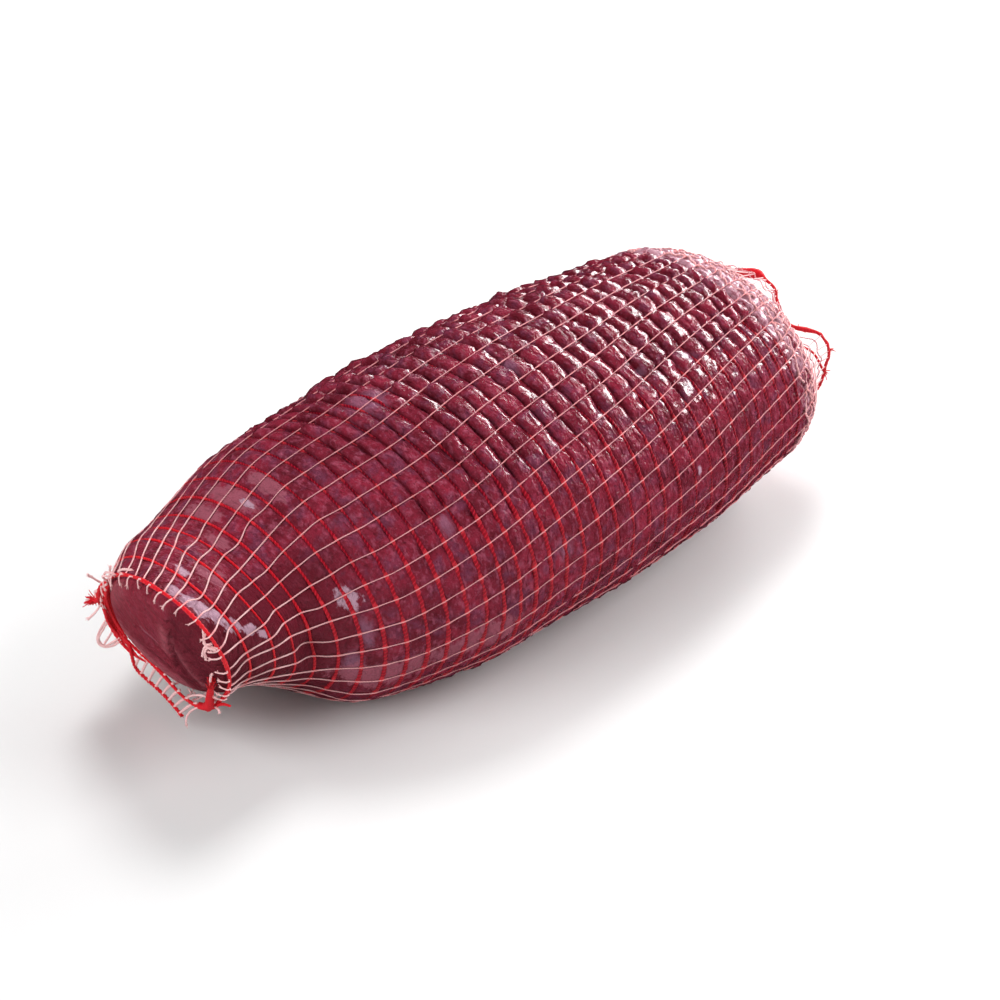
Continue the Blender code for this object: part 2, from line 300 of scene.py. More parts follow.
# %% [markdown]
# ## Pillows between the threads
#
# Tight elastic sinks into meat as a wire sinks into dough: a narrow valley at the thread, and a
# pillow between that is nearly flat, like a brick with round shoulders. High on the barrel the net
# bites deep and the hoops vanish in dark valleys. Only one bare spot near the top shows them. Low
# down, where the meat's weight spreads it, the net only prints it. The valley's profile is a
# quarter circle, so it meets the thread steeply.
#
# Each pillow is also drawn down at its end towards the round tip, like a slate, and has a height
# and a slant of its own. Sculpting would give the same, but a formula keeps every pillow between
# its own threads. Those slopes are what the juice glints on.

# %% Sizes of the relief
HOOP_BITE = 1.1 * MM
DEEP_BITE = 2.0 * MM
WALE_BITE, DEEP_WALE_BITE = 0.6 * MM, 1.2 * MM
FLAT_TOP = 0.50
SHOULDER = 0.6 * MM
FRONT_SHOULDER = 1.4
CELL_HEIGHT, CELL_SLOPE = 0.6, 1.7
BITE_SPREAD, SHOULDER_SPREAD = 0.25, 0.6
PILLOW_NOISE = 0.35
WALE_SOFTNESS = 0.22
GATHER_DIMPLE = 0.35 * MM
# millimetres: cell, height
WRINKLES = ((9.0, 0.30), (4.5, 0.30), (2.4, 0.36))
# station, angle in degrees, reach in stations, spread in degrees
BARE_SPOT = (0.325, 84, 0.028, 10)
print("hoops bite", HOOP_BITE, "m low down and up to", HOOP_BITE + DEEP_BITE, "m high up")


# %% Where the net bites, and its valley
def deep_zone(station, angle):
    """1 where the upper barrel swallows the hoops, 0 where they show, with a ragged lower edge.

    It is a product of ramps round the roast and along it, less a bell at the bare spot.
    """
    around = in_degrees(angle, -60)
    ragged = 4 * np.sin(61 * station) + 3 * np.sin(143 * station + 1)
    upper = ramp(-50, -25, around) * (1 - ramp(126, 144, around + ragged))
    ends = ramp(0.16, 0.29, station) * (1 - 0.8 * ramp(0.86, 0.93, station))
    return upper * ends * (1 - 0.85 * bell(station, angle, BARE_SPOT))


def hoop_bite(station, angle):
    """How deep a hoop sinks: the plain bite, and a deeper one over the upper barrel."""
    crowd = 1 - 0.6 * ramp(0.88, 0.96, station)
    middle = ramp(0.28, 0.46, station) * (1 - ramp(0.80, 0.90, station))
    return crowd * (HOOP_BITE + DEEP_BITE * deep_zone(station, angle) * (0.6 + 0.4 * middle))


def valley(share):
    """1 at the thread, 0 over the flat top: 1 - sqrt(1 - u squared), with u rising from its edge."""
    u = np.clip((share - FLAT_TOP) / (1 - FLAT_TOP), 0, 1)
    return 1 - np.sqrt(1 - u**2)


# %% Pillows
def own_shapes(hoop, wale):
    """Each cell of the net has a height, a lean and a slant of its own, drawn once for every cell."""
    row = np.clip(np.floor(hoop), 0, LAST_HOOP).astype(int)
    column = np.floor(wale).astype(int) % WALES
    high, lean, slant = np.random.default_rng(24).uniform(-1, 1, (3, HOOPS, WALES))[:, row, column]
    return CELL_HEIGHT * high + CELL_SLOPE * (lean * (hoop % 1 - 0.5) + slant * (wale % 1 - 0.5))


def steepness(station, angle, deep):
    """How far a pillow's rear end is drawn down: over the deep zone, and most of all in its front."""
    front = ramp(0.18, 0.28, station) * (1 - ramp(0.34, 0.52, station))
    front = front * (1 - ramp(148, 166, in_degrees(angle, -60)))
    return SHOULDER * (deep + FRONT_SHOULDER * front)


def relief(hoop, wale, station, angle):
    """Height of the meat's surface over its smooth skin.

    The pillows' own shapes less their drawn-down ends, less the valleys under hoops and wales, less
    a dimple half way between them where the net is gathered.
    """
    from_hoop = np.abs(hoop - np.round(hoop)) * 2
    from_wale = np.abs(wale - np.round(wale)) * 2
    near_hoop = valley(1 - from_hoop)
    near_wale = 0.6 * valley(1 - from_wale) + 0.4 * np.exp(-((from_wale / WALE_SOFTNESS) ** 2))
    deep = deep_zone(station, angle)
    bite = hoop_bite(station, angle) * (1 + BITE_SPREAD * net_noise(hoop, wale, 21, 1.4))
    own = own_shapes(hoop, wale) * (0.25 + 0.75 * deep)
    shape = own + PILLOW_NOISE * net_noise(hoop, wale, 22, 0.8)
    drawn_down = steepness(station, angle, deep) * ramp(0.45, 0.9, hoop % 1)
    shoulder = drawn_down * (1 + SHOULDER_SPREAD * net_noise(hoop, wale, 24, 0.9))
    pillow = (MM * shape - shoulder) * (1 - near_hoop) * (1 - near_wale)
    between = valley(np.abs(from_hoop - 0.5) * 2) + valley(np.abs(from_wale - 0.5) * 2)
    gathered = GATHER_DIMPLE * between * ramp(0.85, 0.92, station)
    wale_bite = (WALE_BITE + DEEP_WALE_BITE * deep) * near_wale * (1 - 0.5 * near_hoop)
    return pillow - gathered - bite * near_hoop - wale_bite


def wrinkles(points):
    """Fine folds: three octaves of lattice noise, each drawn out round the roast."""
    total = np.zeros(points.shape[:-1])
    for seed, (cell, height) in enumerate(WRINKLES, start=31):
        cells = cell * MM * np.array([0.7, 1.3, 1.3])
        total += height * MM * lattice_noise(points, cells, seed)
    return total


# %% [markdown]
# ## The cut face
#
# At the neck the leg was cut across, and the flesh bulges a little out of the net's mouth. The face
# is a fan of rings that shrink to a pole. Each ring's fullness sets how far it stands ahead of the
# first hoop, so the edge is rounded and the middle almost flat, with two soft folds across it.

# %% The face's sizes and its lines
FACE_FULLNESS = np.array([0.0, 0.38, 0.68, 0.885, 0.955, 1.0])
FACE_AHEAD = MM * np.array([5.6, 5.2, 4.3, 3.0, 1.6, 0.0])
FACE_RINGS = 38
FACE_REACH = (0.04, 0.985)
FACE_TUCK = 0.8 * MM
# lines on the face: from sideways, up, to sideways, up, then width and height
FACE_FOLDS = MM * np.array([
    (-18, 22, -13, 10, 1.7, -1.1),
    (-13, 10, -7.5, -9, 1.5, -1.7),
    (-17, 9, -21, -4, 2.6, 1.5),
    (-3, -3, -6, -8, 1.8, -1.4),
    (8, 3, -2, -2, 1.6, -0.7),
    (-2, -13, 18, -12, 2.6, -0.8),
])
FACE_STREAKS = MM * np.array([
    (6, 5.5, -3, 3.0, 0.8, 0.8),
    (7.5, 2.6, 3, 4.2, 0.8, 0.8),
])
# Painted highlights: lighter lines where light falls on the cut face's edge and on its ridge.
FACE_HIGHLIGHTS = MM * np.array([
    (28, -12, 18, -20, 4.5, 0.8),
    (18, -20, -6, -20, 4.0, 0.8),
    (-15, 7, -20, -7, 2.6, 1.0),
    (-10, 14, -6, 1, 2.2, 0.6),
    (16, 18, 27, 5, 5.0, 0.5),
])


# %% Folds and shades of the face
def along_lines(x, y, lines):
    """A bell across each line: exp(-(distance / width) squared) times its height, all added up."""
    total = np.zeros(x.shape)
    for x0, y0, x1, y1, width, height in lines:
        run_x, run_y = x1 - x0, y1 - y0
        share = np.clip(((x - x0) * run_x + (y - y0) * run_y) / (run_x**2 + run_y**2), 0, 1)
        distance = np.hypot(x - x0 - share * run_x, y - y0 - share * run_y)
        total += height * np.exp(-((distance / width) ** 2))
    return total


def on_face(ring):
    """The places of face points in their own plane, in metres to the side and up of its middle."""
    centre, side, up, forward = section_frame(hoop_station(np.zeros(1)))
    return (ring - centre) @ side[0], (ring - centre) @ up[0]


def face_shade(ring):
    """Darkness of the cut: its creases, and the half to the right of the long one."""
    x, y = on_face(ring)
    right = ramp(5 * MM, 13 * MM, -x - 0.3 * y)
    creases = np.clip(-along_lines(x, y, FACE_FOLDS) / (1.4 * MM), 0, 1)
    return np.maximum(right, creases)


# %% Rings of the face
def face_rings(angle):
    """Rings from the pole's neighbour out to the edge: a section at each fullness, pushed ahead."""
    full = np.linspace(*FACE_REACH, FACE_RINGS)[:, None]
    first = hoop_station(np.zeros((1, 1)))
    ahead = smooth(FACE_FULLNESS, FACE_AHEAD, full)
    ring = on_section(first, angle, full, -FACE_TUCK * full, ahead)
    folds = along_lines(*on_face(ring), FACE_FOLDS)
    rough = 0.35 * MM * lattice_noise(ring, 6 * MM, 41) + 0.15 * MM * lattice_noise(ring, 2.5 * MM, 42)
    forward = section_frame(first)[3]
    return ring - forward * ((rough + folds) * (1 - full**6))[..., None]


print(FACE_RINGS, "rings lie on the cut face, which has", len(FACE_FOLDS), "folds")

# %% [markdown]
# ## The meat as one skin
#
# The real roast is one unbroken surface from the cut face to the tip. A grid wrapped round it is
# the plainest mesh for that: seven rings to a row of the net, crowded where a valley is steep, and
# eight points to a thread. A displaced or sculpted sphere would waste its faces between valleys.

# %% Meshes from grids
def finished(mesh, values):
    """Gives the mesh smooth shading and one float attribute for each named array."""
    for name, value in values.items():
        layer = mesh.attributes.new(name, "FLOAT", "POINT")
        layer.data.foreach_set("value", np.asarray(value, np.float32).ravel())
    mesh.shade_smooth()
    mesh.update()
    piece = bpy.data.objects.new(mesh.name, mesh)
    bpy.context.scene.collection.objects.link(piece)
    print(mesh.name, len(mesh.polygons), "faces")
    return piece


def closed_skin(name, rings, poles, values):
    """A skin of quads over closed rings, with a fan of triangles to a pole at either end."""
    rows, columns = rings.shape[:2]
    index = np.arange(rows * columns).reshape(rows, columns)
    after = np.roll(index, -1, axis=1)
    quads = np.stack([index[:-1], index[1:], after[1:], after[:-1]], -1).reshape(-1, 4)
    first = np.full(columns, rows * columns)
    fans = np.concatenate([
        np.stack([first, index[0], after[0]], -1),
        np.stack([first + 1, after[-1], index[-1]], -1),
    ])
    mesh = bpy.data.meshes.new(name)
    points = np.concatenate([rings.reshape(-1, 3), poles])
    mesh.from_pydata(points.tolist(), [], quads.tolist() + fans.tolist())
    return finished(mesh, values)


# %% Rows and columns of the meat's grid
CELL_ROWS = np.array([0.0, 0.06, 0.15, 0.27, 0.5, 0.73, 0.87])
COLUMNS_PER_WALE = 8
TIP_RINGS = 12
TIP_FULLNESS = 0.03
CRUMPLE = 0.15 * MM

rows = (np.arange(LAST_HOOP)[:, None] + CELL_ROWS).reshape(-1, 1)
rows = np.concatenate([rows, [[LAST_HOOP]]])
columns = np.arange(WALES * COLUMNS_PER_WALE)[None] / COLUMNS_PER_WALE
body_station, body_angle = net_place(rows, columns)
last_full = float(dome(hoop_station(LAST_HOOP)))
tip_full = np.linspace(last_full, TIP_FULLNESS, TIP_RINGS + 1)[1:, None]
tip_rows = LAST_HOOP + np.arange(1, TIP_RINGS + 1)[:, None] / TIP_RINGS
tip_angle = np.broadcast_to(body_angle[-1:], (TIP_RINGS, columns.shape[1]))
all_rows = np.concatenate([rows, tip_rows])
station = np.concatenate([body_station, np.broadcast_to(dome_station(tip_full), tip_angle.shape)])
angle = np.concatenate([body_angle, tip_angle])

# %% The meat's points
point, normal, fade = skin(station, angle)
smooth_tip = 1 - ramp(LAST_HOOP - 0.3, LAST_HOOP + 0.1, all_rows)
height = relief(all_rows, columns, station, angle) * smooth_tip
height = height + wrinkles(point) * (0.5 + 0.5 * ramp(0.2, 0.4, station))
crumple = np.random.default_rng(35).normal(0, CRUMPLE, station.shape)
crumple = (crumple + np.roll(crumple, 1, axis=1)) * (all_rows < LAST_HOOP)
height = height + crumple * ramp(0.18, 0.32, station)
point = point + normal * (fade * height)[..., None]
face = face_rings(body_angle[:1])
rings = np.concatenate([face, point])
rings[..., 2] = np.maximum(rings[..., 2], FLAT_LIFT)
first_hoop = hoop_station(np.zeros(1))
poles = np.concatenate([
    on_section(first_hoop, 0.0, 0.0, ahead=FACE_AHEAD[0]),
    on_section(np.ones(1), 0.0, 0.0),
])
print("the meat has", len(rings), "rings of", rings.shape[1], "points")

# %% [markdown]
# ## Fat, silverskin and bruises
#
# The real meat has torn scraps of bluish silverskin by the cut face, mauve fat along the neck, and
# violet stains. Painting them by hand would need an image. Here each is a bell curve at a named
# station and angle, kept as one float for every point, and the material's noise tears its edge.

# %% Where fat, silverskin and bruised colour lie
# station, angle in degrees, reach in stations, spread in degrees
SILVER = (
    (0.018, 104, 0.007, 8),
    (0.019, 115, 0.007, 9),
    (0.022, 126, 0.008, 9),
    (0.029, 137, 0.008, 8),
    (0.037, 147, 0.009, 7),
    (0.050, 154, 0.009, 5),
    (0.063, 160, 0.009, 4),
    (0.045, 97, 0.006, 6),
    (0.172, 153, 0.013, 7),
    (0.160, 91, 0.0035, 4.5),
    (0.660, 172, 0.004, 3),
)
MAUVE = (
    (0.132, 76, 0.012, 15),
    (0.158, 82, 0.012, 17),
    (0.185, 92, 0.009, 12),
    (0.110, 96, 0.009, 9),
    (0.190, 197, 0.060, 9),
    (0.290, 194, 0.060, 8),
    (0.062, 112, 0.012, 12),
)
VIOLET = (
    (0.178, 171, 0.008, 10),
    (0.162, 189, 0.012, 8),
    (0.280, 142, 0.008, 5),
    (0.500, 103, 0.008, 5),
    (0.735, 131, 0.010, 2.5),
    (0.650, 127, 0.010, 2.5),
    (0.410, 172, 0.014, 6),
    (0.325, 84, 0.026, 8),
)
UPWARD, UPWARD_SPREAD = 95, 50
GATHERED_BELOW, SHEEN_ON_TOP = 0.44, 0.40


# %% The meat and its paints
def patches(spots, station, angle):
    """The highest of several bell curves, each at a named station and angle. Noise tears it later."""
    total = np.zeros(station.shape)
    for spot in spots:
        total = np.maximum(total, bell(station, angle, spot))
    return total


def with_face(body_value, face_value):
    """Values for all rings and both poles: the face's first, then the body's, then the poles'."""
    front = np.broadcast_to(face_value, face.shape[:2])
    ends = [front[0].mean(), body_value[-1].mean()]
    return np.concatenate([front.ravel(), body_value.ravel(), ends])


# Painted shade: the meat is darkened in the valley under each hoop, most of all where the hoops bite deep.
near_hoop = valley(1 - np.abs(all_rows - np.round(all_rows)) * 2) * np.ones(station.shape)
# The round end is painted paler: the gathered net's own pale threads, and a painted sheen that is strongest
# on its upward side.
turned_up = np.exp(-(((in_degrees(angle) - UPWARD) / UPWARD_SPREAD) ** 2))
gathered = ramp(0.83, 0.92, station) * (GATHERED_BELOW + SHEEN_ON_TOP * turned_up)
neck_shade = (1 - ramp(0.12, 0.24, station)) * ramp(112, 135, in_degrees(angle))
streaks = along_lines(*on_face(face), FACE_STREAKS) / MM
# Painted highlight on the cut face, carried in the face attribute above 1.
face_highlights = along_lines(*on_face(face), FACE_HIGHLIGHTS) / MM
meat = closed_skin("meat", rings + HOME, poles + HOME, {
    "silver": with_face(patches(SILVER, station, angle), 0),
    "mauve": with_face(patches(MAUVE, station, angle), streaks),
    "violet": with_face(patches(VIOLET, station, angle), 0),
    "face": with_face(np.zeros(station.shape), 1 + face_highlights),
    "gather_and_sheen": with_face(gathered, 0),
    "shade": with_face(neck_shade, face_shade(face)),
    "valley_shade": with_face(near_hoop * (0.45 + 0.55 * deep_zone(station, angle)), 0),
    "wet": with_face(0.06 + 0.94 * ramp(0.15, 0.26, station), 0.1),
})

# %% [markdown]
# ## Threads
#
# Every thread is a tube whose rings ride along a path. All hoops are made at once, as one array of
# paths, and so are all wales. A real elastic cord is two strands laid round each other, so a
# tube's radius swells twice in each turn, and the swelling winds along it.

# %% Tubes along many paths at once
def tube_points(centres, normals, radius, sides, ply, turns, closed):
    """Rings of points: centre + r (cos a normal + sin a binormal).

    The binormal is the path's direction crossed with the normal, and r is the radius times
    1 + ply cos 2(a - turns along the path).
    """
    if closed:
        ahead = np.roll(centres, -1, axis=1) - np.roll(centres, 1, axis=1)
    else:
        ahead = np.gradient(centres, axis=1)
    ahead /= np.linalg.norm(ahead, axis=-1, keepdims=True)
    normals = normals - (normals * ahead).sum(-1, keepdims=True) * ahead
    normals /= np.linalg.norm(normals, axis=-1, keepdims=True)
    binormals = np.cross(ahead, normals)
    around = 2 * np.pi * np.arange(sides) / sides
    swell = 1 + ply * np.cos(2 * (around - 2 * np.pi * turns[:, :-1, None]))
    size = (np.broadcast_to(radius, centres.shape[:2])[..., None] * swell)[..., None]
    across, upright = np.cos(around)[:, None], np.sin(around)[:, None]
    return centres[:, :, None] + size * (across * normals[:, :, None] + upright * binormals[:, :, None])


# %% Faces and map of a tube
def turns_along(centres, pitch, closed):
    """How many turns of the strands lie before each point, and a whole number of them in a loop."""
    gaps = np.linalg.norm(np.roll(centres, -1, axis=1) - centres, axis=-1)
    run = np.concatenate([np.zeros((len(centres), 1)), np.cumsum(gaps, axis=1)], axis=1)
    turns = run / pitch
    if closed:
        turns = turns * np.round(turns[:, -1:]) / turns[:, -1:]
    return turns


def tube_faces(index, closed):
    """Quads from each ring of point numbers to the next one along its path."""
    start = index if closed else index[:, :-1]
    following = np.roll(index, -1, axis=1) if closed else index[:, 1:]
    return np.stack([start, np.roll(start, -1, 2), np.roll(following, -1, 2), following], -1)


def tube_ends(index):
    """Fans from both end rings of every path to a middle point each, numbered after all the rings."""
    near, far = index[:, 0], index[:, -1]
    middle = index.size + np.arange(2 * len(index)).reshape(2, -1, 1)
    first = np.stack([np.broadcast_to(middle[0], near.shape), np.roll(near, -1, 1), near], -1)
    last = np.stack([np.broadcast_to(middle[1], far.shape), far, np.roll(far, -1, 1)], -1)
    return np.concatenate([first, last]).reshape(-1, 3)


def ply_map(turns, shape):
    """A UV place for each corner of each quad: turns along the path, and share of the way round."""
    near = np.broadcast_to(turns[:, :shape[1], None], shape)
    far = np.broadcast_to(turns[:, 1:shape[1] + 1, None], shape)
    low = np.broadcast_to(np.arange(shape[2]) / shape[2], shape)
    high = low + 1 / shape[2]
    return np.stack([near, low, near, high, far, high, far, low], -1).ravel()


# %% A mesh of many tubes
def tubes(name, centres, normals, radius, sides, ply=0.0, pitch=3 * MM, closed=False, values=None):
    """One mesh of tubes round paths, one row of centres each, with values for each centre."""
    turns = turns_along(centres, pitch, closed)
    rings = tube_points(centres, normals, radius, sides, ply, turns, closed)
    index = np.arange(rings.size // 3).reshape(rings.shape[:3])
    quads = tube_faces(index, closed)
    faces = quads.reshape(-1, 4).tolist()
    points = [rings.reshape(-1, 3)]
    if not closed:
        faces += tube_ends(index).tolist()
        points += [centres[:, 0], centres[:, -1]]
    mesh = bpy.data.meshes.new(name)
    mesh.from_pydata(np.concatenate(points).tolist(), [], faces)
    corners = np.zeros(2 * len(mesh.loops), np.float32)
    corners[:2 * quads.size] = ply_map(turns, quads.shape[:3])
    mesh.uv_layers.new(name="ply").data.foreach_set("uv", corners)
    made = {}
    for key, value in (values or {}).items():
        grid = np.broadcast_to(value, centres.shape[:2])
        ending = [] if closed else np.concatenate([grid[:, 0], grid[:, -1]])
        made[key] = np.concatenate([np.repeat(grid.ravel(), sides), ending])
    return finished(mesh, made)


# %% [markdown]
# ## Red hoops
#
# A red hoop lies in the valley that it pressed into the meat. High up it sinks out of sight, and
# low down in front it lies flat and broad. A curve object with a bevel would give smooth round cords
# without strands, and a shrinkwrap would lose the valleys. So the hoops are tubes: their height is
# the meat's own bite at that place, and their radius depends on where they are.
#
# At the round end the rows are pale, closer, and swing to and fro so that they meet as the meshes
# of a gathered net do.

# %% Sizes of the red elastic
HOOP_RADIUS = 0.59 * MM
NECK_THINNING = 0.11 * MM
HOOP_STEPS = 8
CROSSING_REACH = 0.16
FIRST_PALE_HOOP, PALE_SPACING = 35, 0.75
PALE_ZIGZAG = 0.30
ROUND_END_THINNING = 0.45
BROAD, FRONT_BROAD = 0.42, 0.30
HOOP_PLY = 0.16
HOOP_SIDES = 8
FRONT_BRIGHT, PALE_BRIGHT = 0.26, 0.3
UNEVEN = 0.3 * MM
PROUD, SWALLOWED = 0.9, 1.6


# %% How thick a hoop is and how high it lies
def round_radius(station):
    """The radius of the rolled cord, which is thinner at the neck and at the round end."""
    neck = NECK_THINNING * (1 - ramp(0.04, 0.26, station))
    return HOOP_RADIUS - neck - ROUND_END_THINNING * HOOP_RADIUS * ramp(0.87, 0.93, station)


def low_side(angle):
    """1 on the lower half of a section, where the hoops show whole, and 0 over its top."""
    return ramp(134, 154, in_degrees(angle)) * (1 - ramp(330, 350, in_degrees(angle)))


def flattening(station, angle):
    """What the cord gains in radius low on the sides, where it lies flat, and most of all in front."""
    broad = BROAD + FRONT_BROAD * (1 - ramp(0.34, 0.58, station))
    stretch = ramp(0.09, 0.20, station) * (1 - ramp(0.84, 0.90, station))
    return broad * HOOP_RADIUS * low_side(angle) * stretch


def hoop_radius(station, angle):
    """The round cord's radius plus what it gains where it lies flat."""
    return round_radius(station) + flattening(station, angle)


def hoop_lift(station, angle):
    """Height of a hoop's middle over the smooth skin: in the valley, and under it where swallowed."""
    rise = round_radius(station) * (PROUD - SWALLOWED * deep_zone(station, angle))
    return rise - flattening(station, angle) - hoop_bite(station, angle)


# %% Hoops
def hoops_at(name, numbers, zigzag=0.0):
    """Closed cords round the roast at these hoop numbers, each crossing every wale once.

    The zigzag is a cosine that swings a hoop forward and back from wale to wale, and its neighbour
    the other way.
    """
    wale = np.arange(WALES * HOOP_STEPS)[None] / HOOP_STEPS
    order = np.arange(len(numbers))[:, None]
    swing = np.cos(np.pi * (wale * (WALES + 1) / WALES + order))
    number = np.asarray(numbers, float)[:, None] + zigzag * swing
    at, turn = net_place(number, wale)
    surface, outward, fade = skin(at, turn)
    lift = relief(number, wale, at, turn) + 0.5 * HOOP_RADIUS if zigzag else hoop_lift(at, turn)
    crossing = np.exp(-(((wale - np.round(wale)) / CROSSING_REACH) ** 2)) * np.ones(at.shape)
    sunk = UNEVEN * net_noise(number, wale, 23, 1.3) * (1 - ramp(0.85, 0.9, at))
    path = surface + outward * ((lift + sunk) * fade)[..., None]
    radius = hoop_radius(at, turn)
    path[..., 2] = np.maximum(path[..., 2], FLAT_LIFT + (1 + HOOP_PLY) * radius)
    bright = FRONT_BRIGHT * low_side(turn) * (1 - ramp(0.40, 0.66, at))
    slack = np.maximum(slack_neck(at), np.maximum(bright, PALE_BRIGHT * (zigzag > 0)))
    return tubes(name, path + HOME, outward, radius, HOOP_SIDES, HOOP_PLY, closed=True,
                 values={"crossing": crossing, "slack": slack})


hoops = hoops_at("hoops", np.arange(1, FIRST_PALE_HOOP))
pale_numbers = np.arange(FIRST_PALE_HOOP, LAST_HOOP - 0.2, PALE_SPACING)
pale_hoops = hoops_at("pale_hoops", pale_numbers, PALE_ZIGZAG)

# %% [markdown]
# ## Pale threads along
#
# A pale thread runs the whole length in its own shallow valley and steps over every hoop. Past the
# mouth it was cut, and its end leans in over the edge of the cut face. Painted lines would save the
# tubes, but a thread stands off the meat, casts a small shadow and shows in the outline. It is laid
# on the same formula as the meat, so it can't drift off its valley. Where it leaves the meat
# depends on the cord round the mouth, so the cord's places come first: angles in degrees, and
# millimetres outward and ahead of the first hoop.

# %% Where the mouth's cord runs
# angle in degrees, millimetres outward and ahead
MOUTH_CORD = np.array([
    (-160, 1.6, 0.5), (-146, 1.8, 1.2), (-133, 2.4, 2.2), (-118, 4.3, 3.0), (-109, 5.0, 3.5),
    (-99, 4.6, 3.5), (-92, 4.1, 3.3), (-83, 3.3, 2.5), (-73, 2.0, 1.8), (-63, 1.2, 1.6),
    (-49, 1.5, 2.0), (-34, 1.6, 2.8), (-15, 1.9, 3.0), (0, 2.1, 3.2), (10, 1.9, 2.2),
    (20, 1.3, 1.0), (43, 0.7, 0), (62, 0.6, 0), (80, 1.0, 0), (98, 1.2, 0),
    (110, 2.2, 0), (122, 3.7, 0), (134, 4.3, 0), (149, 4.2, 0), (162, 2.9, 0),
    (178, 2.0, 0), (200, 1.6, 0.5),
])


def cord_place(turn):
    """How far the mouth's cord stands outward and ahead of the first hoop, at these angles."""
    around = in_degrees(turn, MOUTH_CORD[0, 0])
    return [MM * smooth(MOUTH_CORD[:, 0], MOUTH_CORD[:, column], around) for column in (1, 2)]


# %% Pale threads along the roast
WALE_RADIUS = 0.19 * MM
WALE_STEPS = 8
WALE_SIDES, WALE_PLY, WALE_PITCH = 6, 0.12, 2 * MM
OVER_REACH = 0.2
CLEAR = 0.3 * WALE_RADIUS


def taut_lift(hoop, wale, station, angle):
    """Height of a wale over the smooth skin: on the meat, but never as deep as the deepest valley."""
    deepest = 0.3 * WALE_BITE + 0.75 * DEEP_WALE_BITE * deep_zone(station, angle)
    return np.maximum(relief(hoop, wale, station, angle), -deepest) + CLEAR


wale_number = np.arange(WALES)[:, None].astype(float)
wale_hoop = np.arange(LAST_HOOP * WALE_STEPS + 1)[None] / WALE_STEPS
wale_at, wale_turn = net_place(wale_hoop, wale_number)
wale_skin, wale_normal, wale_fade = skin(wale_at, wale_turn)
over_hoop = np.exp(-(((wale_hoop - np.round(wale_hoop)) / OVER_REACH) ** 2)) * np.ones(wale_at.shape)
over_top = hoop_lift(wale_at, wale_turn) + hoop_radius(wale_at, wale_turn) + CLEAR
taut = taut_lift(wale_hoop, wale_number, wale_at, wale_turn)
wale_lift = taut + (np.maximum(over_top, taut) - taut) * over_hoop
wale_lift = wale_lift * wale_fade + 0.5 * WALE_RADIUS * (1 - wale_fade)
wale_path = wale_skin + wale_normal * wale_lift[..., None]
wale_path += wale_normal * (cord_place(wale_turn)[0] * (1 - ramp(0.1, 0.9, wale_hoop)))[..., None]

# %% Their cut ends at the mouth
END_AHEAD = MM * np.array([3.6, 3.0, 2.2, 1.1])
END_OUT = MM * np.array([-2.2, -0.6, 0.7, 1.2])
END_SLANT = np.radians([-2.0, -1.5, -1.0, -0.5])
END_POINTS = len(END_AHEAD)
CROSSING_SWELL, MOUTH_SWELL = 0.3, 0.55


def with_ends(values, ends):
    """Values along every wale, with those of its cut end in front."""
    return np.concatenate([np.broadcast_to(ends, (WALES, END_POINTS, *values.shape[2:])), values], axis=1)


cut_short = 1 - 0.8 * ramp(215, 245, in_degrees(wale_turn[:, :1]))
loose = np.random.default_rng(61).uniform(0.6, 1.2, (WALES, 1)) * cut_short
end_angle = wale_turn[:, :1] + END_SLANT * loose
end_out = END_OUT + cord_place(end_angle)[0]
end_path = on_section(wale_at[:, :1] + 0 * end_angle, end_angle, 1.0, end_out, END_AHEAD * loose)
wale_path = with_ends(wale_path, end_path)
wale_path[..., 2] = np.maximum(wale_path[..., 2], FLAT_LIFT + WALE_RADIUS)
wale_normal = with_ends(wale_normal, wale_normal[:, :1])
over_hoop = with_ends(over_hoop, 0)
near_mouth = with_ends(1 - ramp(0.05, 0.25, wale_at), 1)
thickness = WALE_RADIUS * (1 + CROSSING_SWELL * over_hoop + MOUTH_SWELL * near_mouth)
wales = tubes("wales", wale_path + HOME, wale_normal, thickness, WALE_SIDES, WALE_PLY, WALE_PITCH,
              values={"crossing": 0.8 * over_hoop, "slack": near_mouth * (1 - over_hoop)})

# %% [markdown]
# ## The net's two mouths
#
# At both ends the tube of net was cut and its last hoop draws the rest together. In front it hugs
# the lower edge of the cut face, and one more row of the net hangs below it like a short ladder.
# Behind, the threads leave the meat and gather to a loose ring. A cloth simulation would drop the
# loose hem somewhere, but not where the real one hangs. So every loose thread is a short list of
# places given one by one, and a smooth curve runs through them.

# %% Curves through chosen places
CURVE_STEPS = 28
# a tube's normals are turned towards this way, along which no thread runs
ASIDE = [0.2, 0.3, 1.0]
CORD_PLY = 0.2
LOOSE_RADIUS = 0.62 * MM


def through(places, steps=CURVE_STEPS):
    """Points spaced along a smooth curve through the places, by the share of the straight run."""
    places = np.asarray(places, float)
    run = np.concatenate([[0], np.cumsum(np.linalg.norm(np.diff(places, axis=0), axis=1))])
    at = np.linspace(0, run[-1], steps)
    return np.stack([smooth(run, places[:, axis], at) for axis in range(3)], -1)


def threads(name, curves, radii, sides=6, ply=0.15, pitch=2.2 * MM, taper=0.0):
    """Tubes for a list of curves, thinning towards the end by the taper times the share squared.

    The radii are one for all, or one each.
    """
    centres = np.stack(curves)
    ahead = np.gradient(centres, axis=1)
    normals = np.cross(np.cross(ahead, ASIDE), ahead)
    shape = 1 - taper * np.linspace(0, 1, centres.shape[1]) ** 2
    size = np.broadcast_to(radii, len(centres))[:, None] * shape
    return tubes(name, centres + HOME, normals, size, sides, ply, pitch, values={"slack": 1.0})


def cord_ring(name, path, outward, radius, sides, pitch):
    """One closed red cord along a path, with its two strands laid round each other."""
    return tubes(name, path[None] + HOME, outward[None], radius, sides, CORD_PLY, pitch, closed=True,
                 values={"slack": 1.0})


